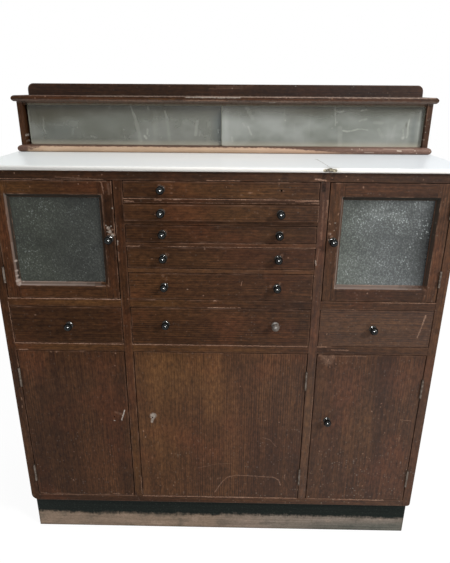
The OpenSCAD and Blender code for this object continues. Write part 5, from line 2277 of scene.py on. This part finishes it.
# Slopes of the glass door frames: the top slopes and parts of the side slopes get painted shade;
# the lower slopes and parts of the side slopes get painted sheen with some dust
LEFT_LIPS = strokes(
    GLOOM,
    (8, 0.95, -459, 935, -257, 935),
    (5.6, 0.85, -457, 741, -457, 935),
    (5, 0.45, -258, 745, -258, 935),
) + strokes(
    SCUFF,
    (2.4, 0.62, -459, 731.2, -330, 731.2),
    (2.4, 0.44, -330, 731.2, -286, 731.2),
    (2.2, 0.24, -286, 731.2, -262, 731.2),
    (2, 0.46, -455, 737, -352, 737),
    (2, 0.28, -352, 737, -310, 737),
    (8, 0.36, -457, 734, -340, 734),
    (8, 0.42, -340, 734, -306, 734),
    (8, 0.30, -306, 734, -288, 734),
    (7, 0.18, -288, 734, -274, 734),
    (4.2, 0.52, -461, 731.5, -460.8, 762),
    (4, 0.34, -460.8, 762, -460.8, 830),
    (3.8, 0.24, -460.8, 830, -460.8, 938),
) + dots(
    SCUFF,
    (9, 1.0, -459.5, 740, -457, 733),
    (6, 0.9, -460, 752, -460, 764, -459, 787, -449, 738),
)
RIGHT_LIPS = strokes(
    GLOOM, (8, 0.95, 259, 935, 459, 935), (7, 0.80, 459.5, 741, 459.5, 935)
) + strokes(
    SCUFF,
    (2.4, 0.52, 256, 731.2, 420, 731.2),
    (2.2, 0.34, 420, 731.2, 450, 731.2),
    (2, 0.46, 262, 737, 400, 737),
    (1.8, 0.26, 400, 737, 436, 737),
    (8, 0.34, 260, 734, 396, 734),
    (8, 0.26, 396, 734, 414, 734),
    (7, 0.18, 414, 734, 428, 734),
    (7, 0.10, 428, 734, 442, 734),
    (2.8, 0.46, 257, 732, 257, 850),
    (2.6, 0.32, 257, 850, 257, 938),
)
# Both doors hold one obscured glass; the right pane's paler colours paint the light reflected from
# the right and the lit cupboard behind it
PANE_IN_SHADE = ObscuredGlassFinish(
    (0.0305, 0.0335, 0.029),
    (0.0640, 0.0685, 0.060),
    0.14,
    -0.33,
    (Patch(CHALK, -400, 900, 70, 60, 0.25), Patch(CHALK, -430, 800, 40, 80, 0.25)),
    (
        Patch(DUSK, -270, 930, 110, 60, 0.40),
        Patch(DUSK, -320, 780, 60, 50, 0.25),
        Patch(DUSK, -358, 934, 400, 12, 0.45),
        Patch(DUSK, -258, 840, 10, 400, 0.40),
    ),
)
PANE_IN_LIGHT = ObscuredGlassFinish(
    (0.086, 0.093, 0.091),
    (0.190, 0.205, 0.202),
    0.72,
    0.33,
    (
        Patch(CHALK, 322, 906, 30, 14, 0.8),
        Patch(CHALK, 348, 893, 34, 11, 1.0),
        Patch(CHALK, 378, 898, 26, 12, 1.0),
        Patch(CHALK, 392, 884, 22, 14, 0.7),
        Patch(CHALK, 430, 922, 26, 14, 0.9),
        Patch(CHALK, 285, 770, 60, 40, 0.35),
        Patch(CHALK, 300, 870, 60, 50, 0.30),
        Patch(CHALK, 330, 742, 130, 22, 0.45),
    ),
    (
        Patch(DUSK, 458, 840, 34, 160, 0.85),
        Patch(DUSK, 420, 800, 60, 100, 0.35),
        Patch(DUSK, 350, 936, 400, 16, 0.55),
        Patch(DUSK, 461, 840, 13, 400, 0.80),
        Patch(DUSK, 290, 930, 40, 40, 0.25),
    ),
)


def main() -> None:
    """Builds the cabinet, then what stands round it."""
    logging.basicConfig(level=logging.INFO, format="%(message)s")
    shop = Workshop()
    black = KnobFinish().material("knob_black")
    dull = KnobFinish().material("knob_dull", 0.9)
    Carcass(shop).build()
    Worktop().build()
    DisplayCase(shop).build()
    for name, tones, finish, *knobs in (
        ("drawer_1", Tones(1.06, 0.75, 0.7), black, (-0.127, 0.95025)),
        ("drawer_2", Tones(1.30, 0.80, 0.55), black, (-0.127, 0.90275), (0.127, 0.90275)),
        ("drawer_3", Tones(0.92, 0.55, 0.6), black, (-0.127, 0.854), (0.127, 0.854)),
        ("drawer_4", Tones(0.95, 0.50, 0.5), black, (-0.127, 0.799), (0.127, 0.799)),
        ("drawer_5", Tones(1.08, 0.50, 0.5), black, (-0.127, 0.7315), (0.127, 0.7315)),
        ("drawer_6", Tones(0.92, 0.45, 0.5), dull, (-0.127, 0.6375), (0.127, 0.6375)),
        ("drawer_left", Tones(0.75, 0.30, 0.5), black, (-0.353, 0.6315)),
        ("drawer_right", Tones(1.17, 0.40, 0.5, None, 0.030), black, (0.353, 0.6315)),
    ):
        Drawer(shop, name, tones, finish, tuple(knobs)).build()
    for name, side, tones, *rest in (
        ("glass_door_left", -1.0, Tones(0.95, 0.45, 0.8), (-0.2435, 0.841), PANE_IN_SHADE, LEFT_LIPS),
        ("glass_door_right", 1.0, Tones(0.99, 0.45, 0.75), (0.2435, 0.841), PANE_IN_LIGHT, RIGHT_LIPS),
        ("door_left", -1.0, Tones(1.09, 0.40, 0.5)),
        ("door_centre", 1.0, Tones(1.44, 0.75, 0.5, None, 0.004)),
        ("door_right", 1.0, Tones(1.22, 0.50, 0.5), (0.266, 0.3775)),
    ):
        HingedDoor(shop, name, side, tones, black, *rest).build()
    node_of("hinge_fixed_leaves").data.materials[0] = shop.steel
    Studio().build()


if __name__ == "__main__":
    main()
